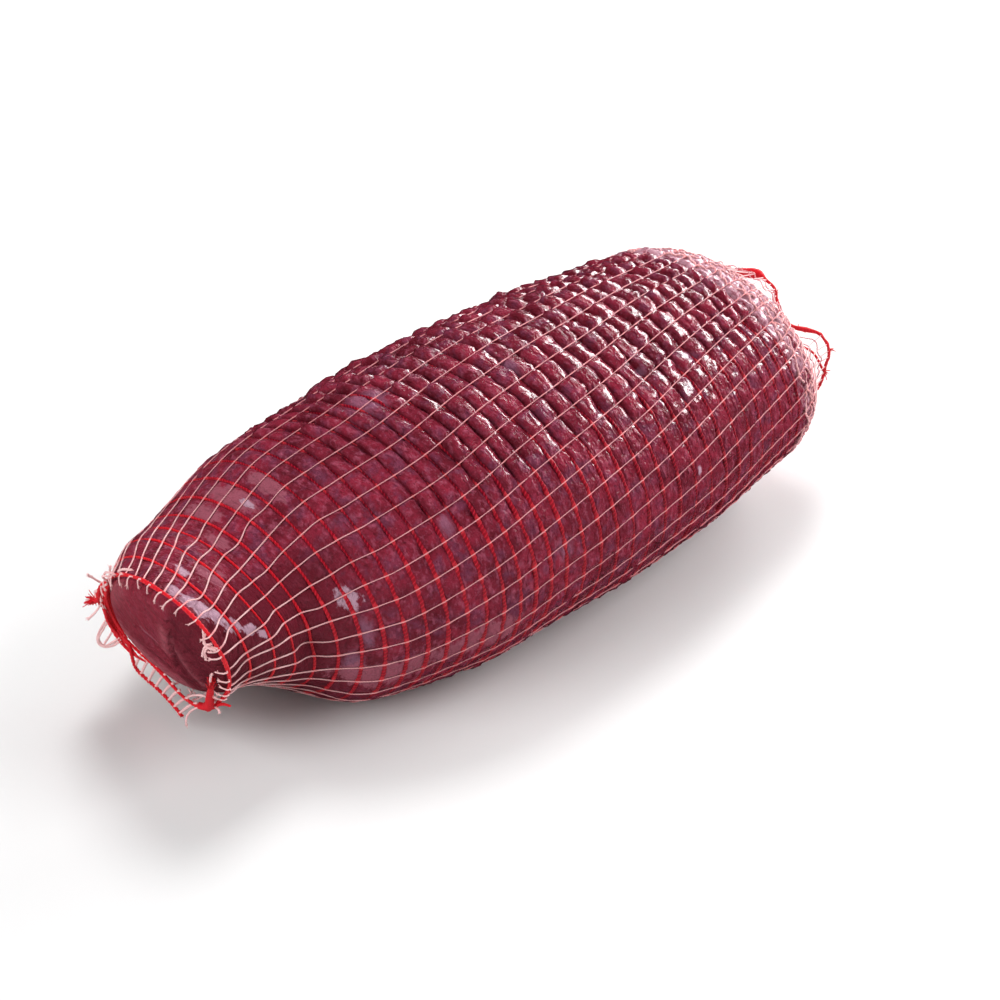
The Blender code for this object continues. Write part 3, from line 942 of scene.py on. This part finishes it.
# %% The cord and the ladder
def mouth(*places):
    """Places given as angle in degrees, then millimetres outward and ahead of the first hoop."""
    turn, out, ahead = np.array(places, float).T
    return on_section(np.full(len(turn), HOOP_STATIONS[0]), np.radians(turn), 1.0, out * MM, ahead * MM)


CORD_STEPS = 280
cord_turn = np.radians(np.linspace(*MOUTH_CORD[[0, -1], 0], CORD_STEPS + 1)[:-1])
cord_path = on_section(np.full(CORD_STEPS, HOOP_STATIONS[0]), cord_turn, 1.0, *cord_place(cord_turn))
cord_outward = cord_path - on_section(HOOP_STATIONS[:1], 0.0, 0.0)
cord_radius = MM * (0.66 + 0.12 * np.sin(9 * cord_turn))
mouth_cord = cord_ring("mouth_cord", cord_path, cord_outward, cord_radius, 10, 3.4 * MM)

LADDER_STEPS = 120
LADDER_CORD = through(mouth(
    (-41, 1.4, 3), (-46, 2.2, 4), (-51, 4.6, 5), (-56, 7.2, 5.5), (-62, 7.9, 5.4), (-69, 8.3, 5.2),
    (-75, 8.8, 5.2), (-82, 9.5, 5.6), (-88, 10.4, 6.2), (-93, 10.9, 7),
), LADDER_STEPS)
ladder_cord = threads("ladder_cord", [LADDER_CORD], LOOSE_RADIUS, 8, CORD_PLY, 3 * MM)

# %% Red ends that were cut
FRONT_RED = [
    mouth((-110, 4.2, 3.4), (-118, 3.4, 3.8), (-126, 2.2, 3.8), (-134, 1.6, 3.0)),
    mouth((-112, 5.0, 3.0), (-122, 4.4, 2.6), (-133, 3.2, 2.4), (-143, 3.8, 2.6), (-151, 5.8, 3.0)),
    mouth((-118, 3.6, 3.2), (-127, 2.2, 3.8), (-138, -0.8, 4.2), (-158, -3.2, 4.2)),
    mouth((-6, 2.6, 3.0), (-20, 2.8, 3.8), (-34, 3.0, 4.2), (-46, 3.2, 3.8), (-58, 2.4, 2.4)),
    mouth((-2, 0.8, 3.6), (-16, 1.0, 4.4), (-30, 1.6, 3.8), (-42, 2.6, 3.0), (-52, 2.2, 3.4)),
    mouth((10, 2.0, 2.4), (6, 3.2, 3.4), (3, 4.2, 4.3), (1, 5.0, 5.0)),
    mouth((26, 1.6, 0.6), (18, 2.6, 2.2), (8, 2.4, 4.0), (-2, 2.8, 4.0)),
    mouth((22, 0.3, 1.0), (8, 0.4, 1.6), (-6, 0.3, 2.0), (-20, 0.4, 2.2), (-36, 0.8, 2.2)),
    mouth((16, 1.0, 1.0), (2, 0.9, 2.4), (-14, 1.1, 2.4), (-28, 0.6, 2.6)),
    mouth((26, 0.5, 0.3), (10, 0.6, 0.8), (-8, 0.6, 1.1), (-26, 0.7, 1.2), (-44, 0.9, 1.0)),
    mouth((-20, 0.2, 0.8), (-36, 0.5, 1.0), (-50, 0.8, 1.0), (-64, 0.6, 0.8)),
]
RED_RADII = MM * np.array([1.2, 0.75, 1.7, 0.75, 0.65, 1.5, 0.7, 0.7, 0.6, 0.95, 0.8])
red_curves = [through(path) for path in FRONT_RED]
mouth_ends = threads("mouth_ends", red_curves, RED_RADII, 8, CORD_PLY, 4 * MM, 0.5)

# %% Rungs of the ladder and loose pale threads
RUNGS = 8
FIRST_RUNG, RUNG_SPAN = -52, 52
FIRST_STEP, STEP_SPAN = 28, 86
RUNG_BEND = 0.6 * MM * np.array([0.5, 0.2, 1.0])
PAST_CORD, PAST_LADDER = 0.18, 0.1
RUNG_RADIUS, PALE_RADIUS = 0.58 * MM, 0.42 * MM
FRONT_PALE = [
    mouth((22, 1.2, 0.6), (22, 3.2, 1.6), (27, 5, 3.2), (33, 7.2, 5.0)),
    mouth((28, 0.4, 1.2), (15, 2.9, 2.6), (9, 4.4, 3.6), (8, 3.0, 4.2)),
    mouth((2, 1.8, 3.4), (-5, 3.6, 5.6), (-10, 6.4, 7.2), (-12, 7.8, 8.5)),
    mouth((-13, 2.0, 3.0), (-19, 4.2, 6.2), (-24, 6.4, 8.8), (-30, 8.2, 9.8), (-33, 7.2, 9.0),
          (-35, 5.4, 7.2), (-34, 1.8, 3)),
    mouth((-16, 2.0, 3.0), (-22, 4.6, 6.8), (-27, 6.8, 9.4), (-32, 6.6, 9.0), (-33, 4.4, 6.4),
          (-32, 1.6, 3)),
    mouth((-23, 2.0, 3.0), (-28, 4.6, 5.5), (-31, 6.4, 8.6)),
    mouth((-108, 5.0, 3.6), (-105, 5.6, 4.7), (-102, 7, 7), (-102, 8.8, 9), (-102, 10.5, 9.6)),
    mouth((-100, 2.0, 3.4), (-118, -2.0, 4.0), (-131, -1.6, 3.8), (-136, 1.6, 3.2)),
    mouth((-126, 1.6, 3), (-130, 3.2, 3.2), (-132, 4.9, 3.4), (-131, 6.0, 3.6)),
    mouth((36, 0.6, 0.4), (44, 1.6, 1), (50, 3.6, 1.2), (54, 5.0, 0.8)),
    mouth((46, 0.6, 0.5), (50, 2.1, 1.2), (44, 3.4, 1.6), (38, 3.2, 1.4)),
    mouth((58, 0.6, 0), (60, 2.6, 1), (66, 3.8, 0.6), (72, 3.4, -0.6)),
    mouth((30, 1, 1), (36, 2.8, 2.2), (42, 2.8, 2.6), (48, 1.2, 2.2)),
    mouth((155, 4.2, 0.2), (152, 3.0, 1.5), (150, 1.4, 2.6), (152, 0.6, 3.8), (156, -0.6, 4.8)),
    mouth((150, 3.2, 0.8), (153, 0.8, 3.5), (161, -1.3, 4.2)),
    mouth((142, 4.2, 0.6), (146, 2.6, 2.2), (150, 2.8, 2.6), (155, 4.4, 1.2)),
    mouth((138, 4.6, 0), (144, 3.2, 1.8), (148, 1.6, 2.4), (150, 3.4, 1.6)),
    mouth((-158, -3.4, 4.4), (-168, -3.5, 4.6), (-177, -2.8, 4.6), (-183, -1.6, 4.4)),
]
rung_share = np.linspace(0, 1, RUNGS)
feet = cord_path[np.searchsorted(np.degrees(cord_turn), FIRST_RUNG - RUNG_SPAN * rung_share)]
heads = LADDER_CORD[(FIRST_STEP + STEP_SPAN * rung_share).astype(int)]
middles = feet * 0.6 + heads * 0.4 + RUNG_BEND
rung_ends = [feet + (feet - heads) * PAST_CORD, heads + (heads - feet) * PAST_LADDER]
rungs = np.stack([rung_ends[0], middles, rung_ends[1]], 1)
mouth_curves = [through(path) for path in [*rungs, *FRONT_PALE]]
mouth_radii = [RUNG_RADIUS] * RUNGS + [PALE_RADIUS] * len(FRONT_PALE)
mouth_threads = threads("mouth_threads", mouth_curves, mouth_radii)

# %% [markdown]
# ## Frayed fibres
#
# Cut elastic bursts into hair-thin fibres. A particle system could scatter them, but the export
# wants meshes, so a tuft is a handful of thin tubes: all start at one root and bend apart at
# random. Each tuft has a seed of its own, so it comes out the same in every run.

# %% Tufts at the front mouth
RED_FIBRE, PALE_FIBRE = 0.22 * MM, 0.15 * MM
TUFT_STEPS = 8


def tuft(root, tip, count, spread, seed):
    """Fibres from one root towards a tip: straight, plus a random bend that grows as share^1.4."""
    rng = np.random.default_rng(seed)
    share = np.linspace(0, 1, TUFT_STEPS)[None, :, None]
    reach = (tip - root) * rng.uniform(0.65, 1.0, (count, 1, 1))
    return list(root + reach * share + rng.normal(0, spread, (count, 1, 3)) * share**1.4)


def fuzz(name, fibres, radius):
    """Thin single fibres that taper a little."""
    return threads(name, fibres, radius, 5, 0, 3 * MM, 0.4)


left_root, left_tip = mouth((4, 3.8, 3.8), (1, 6.0, 5.8))
right_root, right_tip = mouth((-146, -1.8, 4.2), (-174, -3.4, 4.4))
ladder_root = LADDER_CORD[-8]
ladder_tip = LADDER_CORD[-1] + (LADDER_CORD[-1] - ladder_root) * 0.6
red_fibres = tuft(left_root, left_tip, 70, 1.2 * MM, 81) + tuft(right_root, right_tip, 44, 0.8 * MM, 82)
red_fibres += tuft(ladder_root, ladder_tip, 8, 0.5 * MM, 83)
mouth_fuzz = fuzz("mouth_fuzz", red_fibres, RED_FIBRE)
pale_fibres = []
for seed, tips in enumerate(end_path, start=100):
    pale_fibres += tuft(tips[1], tips[0] + (tips[0] - tips[1]) * 0.35, 4, 0.42 * MM, seed)
for seed, path in enumerate(FRONT_PALE, start=200):
    pale_fibres += tuft(path[-2], path[-1] + (path[-1] - path[-2]) * 0.2, 4, 0.5 * MM, seed)
pale_fuzz = fuzz("pale_fuzz", pale_fibres, PALE_FIBRE)

# %% [markdown]
# ## The gathered rear
#
# Behind, two fine strands of every wale leave the meat's round end and run in to a loose red ring
# that stands a little off it. Two rows of zigzag threads tie the strands together. A torus would be
# the quick way to make a ring, but this one isn't round: its radius was judged at a few angles,
# and a smooth curve joins them. The strands end on the same curve, so they always meet it.

# %% Places of the rear ring
# angle in degrees, radius in millimetres
REAR_RING = np.array([
    (-110, 29), (-60, 27), (0, 27), (45, 27), (76, 25.2), (90, 26), (103, 28.6), (112, 28.2), (121, 27.6),
    (127, 24.7), (135, 22.9), (146, 21.9), (155, 22.6), (159, 26.5), (161, 34), (166, 38.4), (174, 39.7),
    (184, 38), (194, 37.6), (205, 37.2), (225, 33), (250, 29),
])
RING_AHEAD = 4 * MM
RING_STEPS = 240


def ring_reach(turn):
    """The loose ring's radius at these angles: a smooth curve through the chosen places."""
    return MM * smooth(REAR_RING[:, 0], REAR_RING[:, 1], in_degrees(turn, REAR_RING[0, 0]))


def behind(turn, radius, ahead=RING_AHEAD):
    """A point past the tip: the last section's centre, then ahead of it, and out by the radius."""
    centre, side, up, forward = section_frame(np.ones_like(turn))
    out = np.cos(turn)[..., None] * side + np.sin(turn)[..., None] * up
    return centre + np.asarray(ahead)[..., None] * forward + np.asarray(radius)[..., None] * out


# %% The rear ring
ring_degrees = np.linspace(*REAR_RING[[0, -1], 0], RING_STEPS + 1)[:-1]
ring_turn = np.radians(ring_degrees)
ring_path = behind(ring_turn, ring_reach(ring_turn))
ring_outward = behind(ring_turn, ring_reach(ring_turn) + MM) - ring_path
bunched = 1 + 1.7 * ramp(72, 86, ring_degrees) * (1 - ramp(103, 111, ring_degrees))
bunched += 0.7 * np.exp(-(((ring_degrees - 158) / 3) ** 2))
rear_ring = cord_ring("rear_ring", ring_path, ring_outward, LOOSE_RADIUS * bunched, 8, 3 * MM)

# %% Strands that run in to the ring
STRANDS_PER_WALE = 2
STRAND_STATIONS = np.array([0.925, 0.94, 0.955])
STRAND_LIFT = MM * np.array([-0.6, 0.4, 1.0])
STRAND_RADIUS, STRAND_SIDES = 0.24 * MM, 5
TIP_REACH, TIP_AHEAD = 39 * MM, -3.5 * MM
STRAND_WANDER, TIP_WANDER, TIP_JITTER = 0.012, 0.03, 0.5 * MM
strand_rng = np.random.default_rng(71)
strand_wale = np.arange(WALES * STRANDS_PER_WALE)[:, None] / STRANDS_PER_WALE
strand_turn = wale_angle(strand_wale, STRAND_STATIONS)
strand_turn = strand_turn + strand_rng.normal(0, STRAND_WANDER, strand_turn.shape)
strand_skin, strand_normal, _ = skin(np.broadcast_to(STRAND_STATIONS, strand_turn.shape), strand_turn)
strand_skin = strand_skin + strand_normal * STRAND_LIFT[:, None]
tip_turn = strand_turn[:, -1:] + strand_rng.normal(0, TIP_WANDER, (len(strand_wale), 1))
between = behind(tip_turn, 0.55 * ring_reach(tip_turn) + 0.45 * TIP_REACH, TIP_AHEAD)
between += strand_rng.normal(0, TIP_JITTER, between.shape)
strand_places = np.concatenate([strand_skin, between, behind(tip_turn, ring_reach(tip_turn))], axis=1)
strands = [through(places) for places in strand_places]
rear_threads = threads("rear_threads", strands, STRAND_RADIUS, STRAND_SIDES)

# %% Zigzag links, loose ends and fibres behind
LINK_SHARES = np.array([0.3, 0.62])[:, None]
LINK_REACH, LINK_DEPTH, LINK_PLY = 38.5 * MM, 10 * MM, 0.1
LINK_SWING, LINK_JITTER = 0.9 * MM, 0.12 * MM
LINK_STEPS = WALES * 8
link_turn = np.radians(np.arange(LINK_STEPS) * 360 / LINK_STEPS)[None]
link_jitter = strand_rng.normal(0, LINK_JITTER, (len(LINK_SHARES), LINK_STEPS))
zigzag = LINK_SWING * np.cos(WALES * link_turn) + link_jitter
link_reach = ring_reach(link_turn) * LINK_SHARES + LINK_REACH * (1 - LINK_SHARES)
link_ahead = RING_AHEAD * LINK_SHARES - LINK_DEPTH * (1 - LINK_SHARES) + zigzag
link_path = behind(link_turn + 0 * link_reach, link_reach, link_ahead)
link_outward = behind(link_turn + 0 * link_reach, link_reach + MM, link_ahead) - link_path
rear_links = tubes("rear_links", link_path + HOME, link_outward, STRAND_RADIUS, STRAND_SIDES, LINK_PLY,
                   2 * MM, closed=True)

SECOND = behind(np.radians([176, 179, 184, 189]), MM * np.array([26.4, 32.2, 34.8, 37.0]))
BUNCH = behind(np.radians([76, 85, 95, 105]), MM * np.array([23.6, 24.4, 25.6, 27.4]))
rear_ends = threads("rear_ends", [through(SECOND), through(BUNCH)], [0.5 * MM, 1.1 * MM])
knots = behind(np.radians([172, 189, 160, 124]), MM * np.array([39.5, 37.2, 26.5, 26.5]))
out_from = knots - behind(np.zeros(1), np.zeros(1))
rear_fibres = []
for seed, (knot, out) in enumerate(zip(knots, out_from), start=300):
    rear_fibres += tuft(knot, knot + 0.07 * out, 7, 0.9 * MM, seed)
rear_fuzz = fuzz("rear_fuzz", rear_fibres, RED_FIBRE)

# %% [markdown]
# ## Materials
#
# Shader trees are long to write out, because each node and each link is a line. A small class over
# a node tree keeps the recipes readable: it makes a node with its settings, feeds a socket from
# another socket or a plain value, and lays one paint after another over a colour.

# %% Short ways to build a node tree
class Nodes:
    """A node tree, with short ways to make its nodes. A value may be a socket or a plain value."""

    def __init__(self, tree):
        self.tree = tree

    def feed(self, socket, value):
        """Links the socket to another one, or sets it to the plain value."""
        if isinstance(value, bpy.types.NodeSocket):
            self.tree.links.new(value, socket)
        else:
            socket.default_value = value

    def put(self, node, **inputs):
        """Feeds a node's inputs by name, with _ for a blank."""
        for key, value in inputs.items():
            self.feed(node.inputs[key.replace("_", " ")], value)

    def node(self, kind, **settings):
        """A new shader node. Each setting is one of its properties or else one of its inputs."""
        new = self.tree.nodes.new("ShaderNode" + kind)
        for key, value in settings.items():
            if hasattr(new, key):
                setattr(new, key, value)
            else:
                self.put(new, **{key: value})
        return new

    def maths(self, operation, *values):
        """The result of one sum, product or other operation on up to three values."""
        new = self.node("Math", operation=operation)
        for socket, value in zip(new.inputs, values):
            self.feed(socket, value)
        return new.outputs[0]

    def noise(self, place, scale, detail, roughness):
        """Noise from 0 to 1 with this many cells to a metre."""
        new = self.node("TexNoise", Vector=place, Scale=scale, Detail=detail, Roughness=roughness)
        return new.outputs[0]

    def attribute(self, name):
        """A float that the mesh holds for each of its points."""
        return self.node("Attribute", attribute_name=name).outputs["Fac"]

    def ranged(self, source, low, high, to_low=0, to_high=1):
        """The source's stretch from low to high, carried over to the stretch from to_low to to_high."""
        change = self.node("MapRange")
        for socket, value in zip(change.inputs, (source, low, high, to_low, to_high)):
            self.feed(socket, value)
        return change.outputs[0]

    def painted(self, colour, layers):
        """A colour with paints laid over it in turn, each by its share from 0 to 1."""
        for share, paint in layers:
            mix = self.node("Mix", data_type="RGBA")
            for number, value in ((0, share), (6, colour), (7, paint)):
                self.feed(mix.inputs[number], value)
            colour = mix.outputs[2]
        return colour

    def bump(self, height, distance, strength=1.0, **settings):
        """Normals that are tilted as a surface with this height would be."""
        return self.node("Bump", Height=height, Distance=distance, Strength=strength, **settings).outputs[0]


# %% A new material
def new_material(name):
    """A material, the nodes of its tree, and its shader."""
    made = bpy.data.materials.new(name)
    made.use_nodes = True
    return made, Nodes(made.node_tree), made.node_tree.nodes["Principled BSDF"]


# %% [markdown]
# ## Wet meat
#
# Raw venison is dark, and what makes it look fresh is the film of juice on it: a clear coat that
# breaks the light into small hard glints. The flesh under it is matt and mottled. Silverskin is a
# bluish white sheath, and it lies in torn patches. An image could show all that, but noise in
# layers needs no seams and holds up close. Bumps as small as a muscle fibre break the glints up.

# %% The meat's colours
DARK_MEAT = (0.135, 0.013, 0.024, 1)
MID_MEAT = (0.285, 0.023, 0.048, 1)
PLUM_MEAT = (0.17, 0.042, 0.085, 1)
PALE_MEAT = (0.44, 0.10, 0.165, 1)
FACE_MEAT = (0.25, 0.024, 0.042, 1)
FACE_HIGHLIGHT_COLOUR = (0.42, 0.11, 0.14, 1)
SILVERSKIN = (0.52, 0.32, 0.41, 1)
MAUVE_FAT = (0.35, 0.095, 0.135, 1)
VIOLET_SKIN = (0.30, 0.13, 0.21, 1)
GATHERED_NET_AND_SHEEN = (0.64, 0.35, 0.43, 1)
# The dark red of the painted shade in the hoops' valleys.
VALLEY_SHADE = (0.07, 0.002, 0.006, 1)


# %% The meat's material
def make_meat():
    """Mottled flesh, streaked and speckled, with painted shade and highlights, torn patches of fat over it
    and a coat of juice.
    """
    made, tree, shader = new_material("wet_meat")
    place = tree.node("TexCoord").outputs["Object"]
    along = tree.node("Mapping", Scale=(1.0, 0.5, 0.5), Vector=place).outputs[0]
    mottle = tree.noise(place, 70.0, 5.0, 0.62)
    plum = tree.noise(place, 150.0, 3.0, 0.6)
    speckle = tree.noise(place, 620.0, 3.0, 0.7)
    fibre = tree.noise(along, 560.0, 2.0, 0.6)
    torn = tree.noise(along, 330.0, 4.0, 0.7)

    def patch(name, strength, low=1.15, high=1.33):
        """An attribute's patch with a torn edge: it shows where noise * 1.5 + attribute is high."""
        total = tree.maths("MULTIPLY_ADD", torn, 1.5, tree.attribute(name))
        return tree.ranged(total, low, high, 0, strength)

    colour = tree.painted(DARK_MEAT, (
        (tree.ranged(mottle, 0.36, 0.6), MID_MEAT),
        (tree.ranged(plum, 0.50, 0.64, 0, 0.7), PLUM_MEAT),
        (tree.ranged(fibre, 0.52, 0.78, 0, 0.8), PALE_MEAT),
        (tree.ranged(speckle, 0.46, 0.33, 0, 0.75), DARK_MEAT),
        (tree.ranged(speckle, 0.56, 0.70, 0, 0.4), PALE_MEAT),
        # Painted shade in the valleys under the hoops.
        (tree.ranged(tree.attribute("valley_shade"), 0.1, 0.8, 0, 0.72), VALLEY_SHADE),
        (tree.ranged(tree.attribute("face"), 0, 1, 0, 0.8), FACE_MEAT),
        (tree.ranged(tree.attribute("shade"), 0, 1, 0, 0.92), DARK_MEAT),
        # Painted highlight on the cut face.
        (tree.ranged(tree.attribute("face"), 1, 2, 0, 0.8), FACE_HIGHLIGHT_COLOUR),
        (patch("violet", 0.6, 1.02, 1.6), VIOLET_SKIN),
        (patch("mauve", 0.85), MAUVE_FAT),
        (patch("silver", 0.9), SILVERSKIN),
        # Gathered net at the round end, with a painted sheen on its top.
        (patch("gather_and_sheen", 0.78), GATHERED_NET_AND_SHEEN),
    ))
    cell = tree.node("TexVoronoi", Scale=430.0, Randomness=1.0, Vector=along).outputs["Distance"]
    fine = tree.bump(tree.noise(place, 900.0, 1.0, 0.5), 0.4 * MM)
    facet = tree.bump(cell, 0.9 * MM, invert=True, Normal=fine)
    wet = tree.attribute("wet")
    tree.put(shader, Base_Color=colour, Normal=tree.bump(fibre, 1.4 * MM, Normal=facet),
             Roughness=tree.ranged(wet, 0, 1, 0.5, 0.24), IOR=1.24,
             Coat_Weight=tree.maths("MULTIPLY", wet, tree.ranged(speckle, 0.43, 0.52, 0.1, 1)),
             Coat_Roughness=0.08, Coat_IOR=1.6)
    return made


meat.data.materials.append(make_meat())

# %% [markdown]
# ## Elastic cord and pale thread
#
# Both are two strands of fine fibres laid round each other, only in other colours. So one node
# group paints the strands from the tube's own map, and each material uses it with colours of its
# own: painted shade deep in the valley between strands, lighter on their backs with a painted
# highlight on top, and brightest where nothing stretches the cord.

# %% The threads' finishes
def make_ply_group():
    """A node group that paints the two strands: a painted highlight on each back, painted shade between.

    It is cos(4 pi (share of the way round - turns along)) plus noise times the fuzz, put into 0 to 1.
    """
    group = bpy.data.node_groups.new("two_ply", "ShaderNodeTree")
    group.interface.new_socket("Fuzz", in_out="INPUT", socket_type="NodeSocketFloat")
    group.interface.new_socket("Strand", in_out="OUTPUT", socket_type="NodeSocketFloat")
    inside, outside = group.nodes.new("NodeGroupInput"), group.nodes.new("NodeGroupOutput")
    tree = Nodes(group)
    ply = tree.node("SeparateXYZ", Vector=tree.node("UVMap", uv_map="ply").outputs[0]).outputs
    wave = tree.maths("COSINE", tree.maths("MULTIPLY", tree.maths("SUBTRACT", ply[1], ply[0]), 4 * np.pi))
    place = tree.node("TexCoord").outputs["Object"]
    noise = tree.node("TexNoise", Scale=1500.0, Vector=place).outputs[0]
    fuzzy = tree.maths("ADD", wave, tree.maths("MULTIPLY", noise, inside.outputs[0]))
    tree.feed(outside.inputs[0], tree.ranged(fuzzy, -1.0, 1.6))
    return group


TWO_PLY = make_ply_group()

# %% Red cord and pale thread
def make_thread(name, valley_colour, back, crossing, slack, roughness):
    """Two-ply thread, with its own colours where it crosses another and where it hangs slack."""
    made, tree, shader = new_material(name)
    strand = tree.node("Group", node_tree=TWO_PLY, Fuzz=1.0).outputs[0]
    # The strand paint lays painted shade in the valleys between the strands and lighter colour on their
    # backs.
    colour = tree.painted(valley_colour, (
        (strand, back),
        # Painted highlight: the tops of the strands take the crossing colour.
        (tree.ranged(strand, 0.80, 0.96, 0, 0.4), crossing),
        (tree.ranged(tree.attribute("crossing"), 0.2, 1.0, 0, 0.75), crossing),
        (tree.ranged(tree.attribute("slack"), 0, 1.0, 0, 0.7), slack),
    ))
    tree.put(shader, Base_Color=colour, Roughness=roughness, IOR=1.38)
    tree.put(shader, Normal=tree.bump(strand, 0.2 * MM, 0.5))
    return made


RED_CORD = make_thread("red_cord", (0.12, 0.001, 0.006, 1), (0.32, 0.002, 0.022, 1),
                       (0.72, 0.05, 0.07, 1), (0.92, 0.020, 0.030, 1), 0.46)
PALE_THREAD = make_thread("pale_thread", (0.50, 0.13, 0.17, 1), (0.95, 0.52, 0.54, 1),
                          (0.90, 0.26, 0.26, 1), (1.0, 0.67, 0.66, 1), 0.6)
print("finishes", [finish.name for finish in bpy.data.materials])

# %% [markdown]
# ## Floor
#
# The roast is the only subject, so it lies on a plain pale floor. One large square does it. The
# floor is kept out of mirror reflections, or the wet coat would show it as a white sheen.

# %% The floor
FLOOR_HALF = 2.5
FLOOR_CORNERS = FLOOR_HALF * np.array([(-1, -1, 0), (1, -1, 0), (1, 1, 0), (-1, 1, 0)])
floor_mesh = bpy.data.meshes.new("floor")
floor_mesh.from_pydata(FLOOR_CORNERS.tolist(), [], [(0, 1, 2, 3)])
floor = bpy.data.objects.new("floor", floor_mesh)
bpy.context.scene.collection.objects.link(floor)
floor_finish, floor_tree, floor_shader = new_material("pale_floor")
floor_tree.put(floor_shader, Base_Color=(0.86, 0.86, 0.86, 1), Roughness=0.7)
floor_mesh.materials.append(floor_finish)
floor.visible_glossy = False
print("the floor is", 2 * FLOOR_HALF, "m wide")

# %% [markdown]
# ## Light
#
# The meat was lit from behind by one broad soft source. A wide low box behind the roast and two
# smaller ones beside it stand for that source, and the juice mirrors only these three. A top light
# and two fills lift the colours and soften the shadow, and they are hidden from reflections, since
# a box overhead would put a sheen on every pillow. Oval boxes make glints without corners.

# %% Lights
LIGHT_DISTANCE = 2.0
LIGHT_AIM = [0, 0, 0.05]
WORLD_LIGHT = 0.10


def direction(azimuth, elevation):
    """The unit vector that points from the roast to a thing seen at that azimuth and elevation.

    It is (sin a cos e, -cos a cos e, sin e).
    """
    a, e = np.radians(azimuth), np.radians(elevation)
    return np.array([np.sin(a) * np.cos(e), -np.cos(a) * np.cos(e), np.sin(e)])


# %% Soft boxes
def soft_light(name, azimuth, elevation, width, height, power, glints=False):
    """An oval soft box, turned to the roast from that direction."""
    lamp = bpy.data.lights.new(name, "AREA")
    lamp.shape = "ELLIPSE"
    lamp.size, lamp.size_y = width, height
    lamp.energy = power
    holder = bpy.data.objects.new(name, lamp)
    way = direction(azimuth, elevation)
    holder.location = Vector(way * LIGHT_DISTANCE + LIGHT_AIM)
    holder.rotation_euler = Vector(way).to_track_quat("Z", "Y").to_euler()
    holder.visible_glossy = glints
    bpy.context.scene.collection.objects.link(holder)


soft_light("key", 98, 21, 2.0, 0.55, 28, glints=True)
soft_light("low glint", 84, 12, 0.9, 0.3, 8, glints=True)
soft_light("low rim", 116, 10, 0.9, 0.22, 3.5, glints=True)
soft_light("top", 130, 62, 0.8, 0.8, 20)
soft_light("left fill", 262, 34, 1.6, 1.6, 28)
soft_light("right fill", 38, 32, 1.6, 1.6, 28)
print("lights", [lamp.name for lamp in bpy.data.lights])

# %% Even light from all round
world = bpy.data.worlds.new("studio")
world.use_nodes = True
world.node_tree.nodes["Background"].inputs[0].default_value = (1, 1, 1, 1)
world.node_tree.nodes["Background"].inputs[1].default_value = WORLD_LIGHT
world.cycles_visibility.glossy = False
bpy.context.scene.world = world
bpy.context.scene.view_settings.view_transform = "Standard"

# %% [markdown]
# ## Camera
#
# A long lens looks down on the cut end from the front left. Its place is measured from the foot of
# the cut face, as the formula's own points are, and so it moves with the roast.

# %% Camera
CAMERA_FROM_FACE = np.array([-0.6569, -0.7810, 0.7880])
CAMERA_AZIMUTH, CAMERA_ELEVATION = -45.99, 33.62
LENS, SENSOR_WIDTH = 131.81, 36.0

lens = bpy.data.cameras.new("photo_view")
lens.lens = LENS
lens.sensor_width = SENSOR_WIDTH
camera = bpy.data.objects.new("photo_view", lens)
camera.location = Vector(CAMERA_FROM_FACE + HOME)
way_back = Vector(direction(CAMERA_AZIMUTH, CAMERA_ELEVATION))
camera.rotation_euler = way_back.to_track_quat("Z", "Y").to_euler()
bpy.context.scene.collection.objects.link(camera)
bpy.context.scene.camera = camera
print("camera at", [round(v, 3) for v in camera.location])

# %% [markdown]
# ## Tie the pieces to the solids
#
# Everything rides on the one body. The meat, the cord at the front and the ring behind stand for the
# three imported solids, which aren't shown then, and the other pieces lie on these.

# %% Ride, replace, finish
red_pieces = (hoops, mouth_cord, ladder_cord, mouth_ends, mouth_fuzz, rear_ring, rear_ends, rear_fuzz)
pale_pieces = (wales, pale_hoops, mouth_threads, pale_fuzz, rear_threads, rear_links)
for piece in red_pieces:
    piece.data.materials.append(RED_CORD)
for piece in pale_pieces:
    piece.data.materials.append(PALE_THREAD)
for piece in red_pieces + pale_pieces:
    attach(piece, "root")
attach(meat, "root")
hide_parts("netted_roast")
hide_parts("front_hem")
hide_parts("rear_hem")
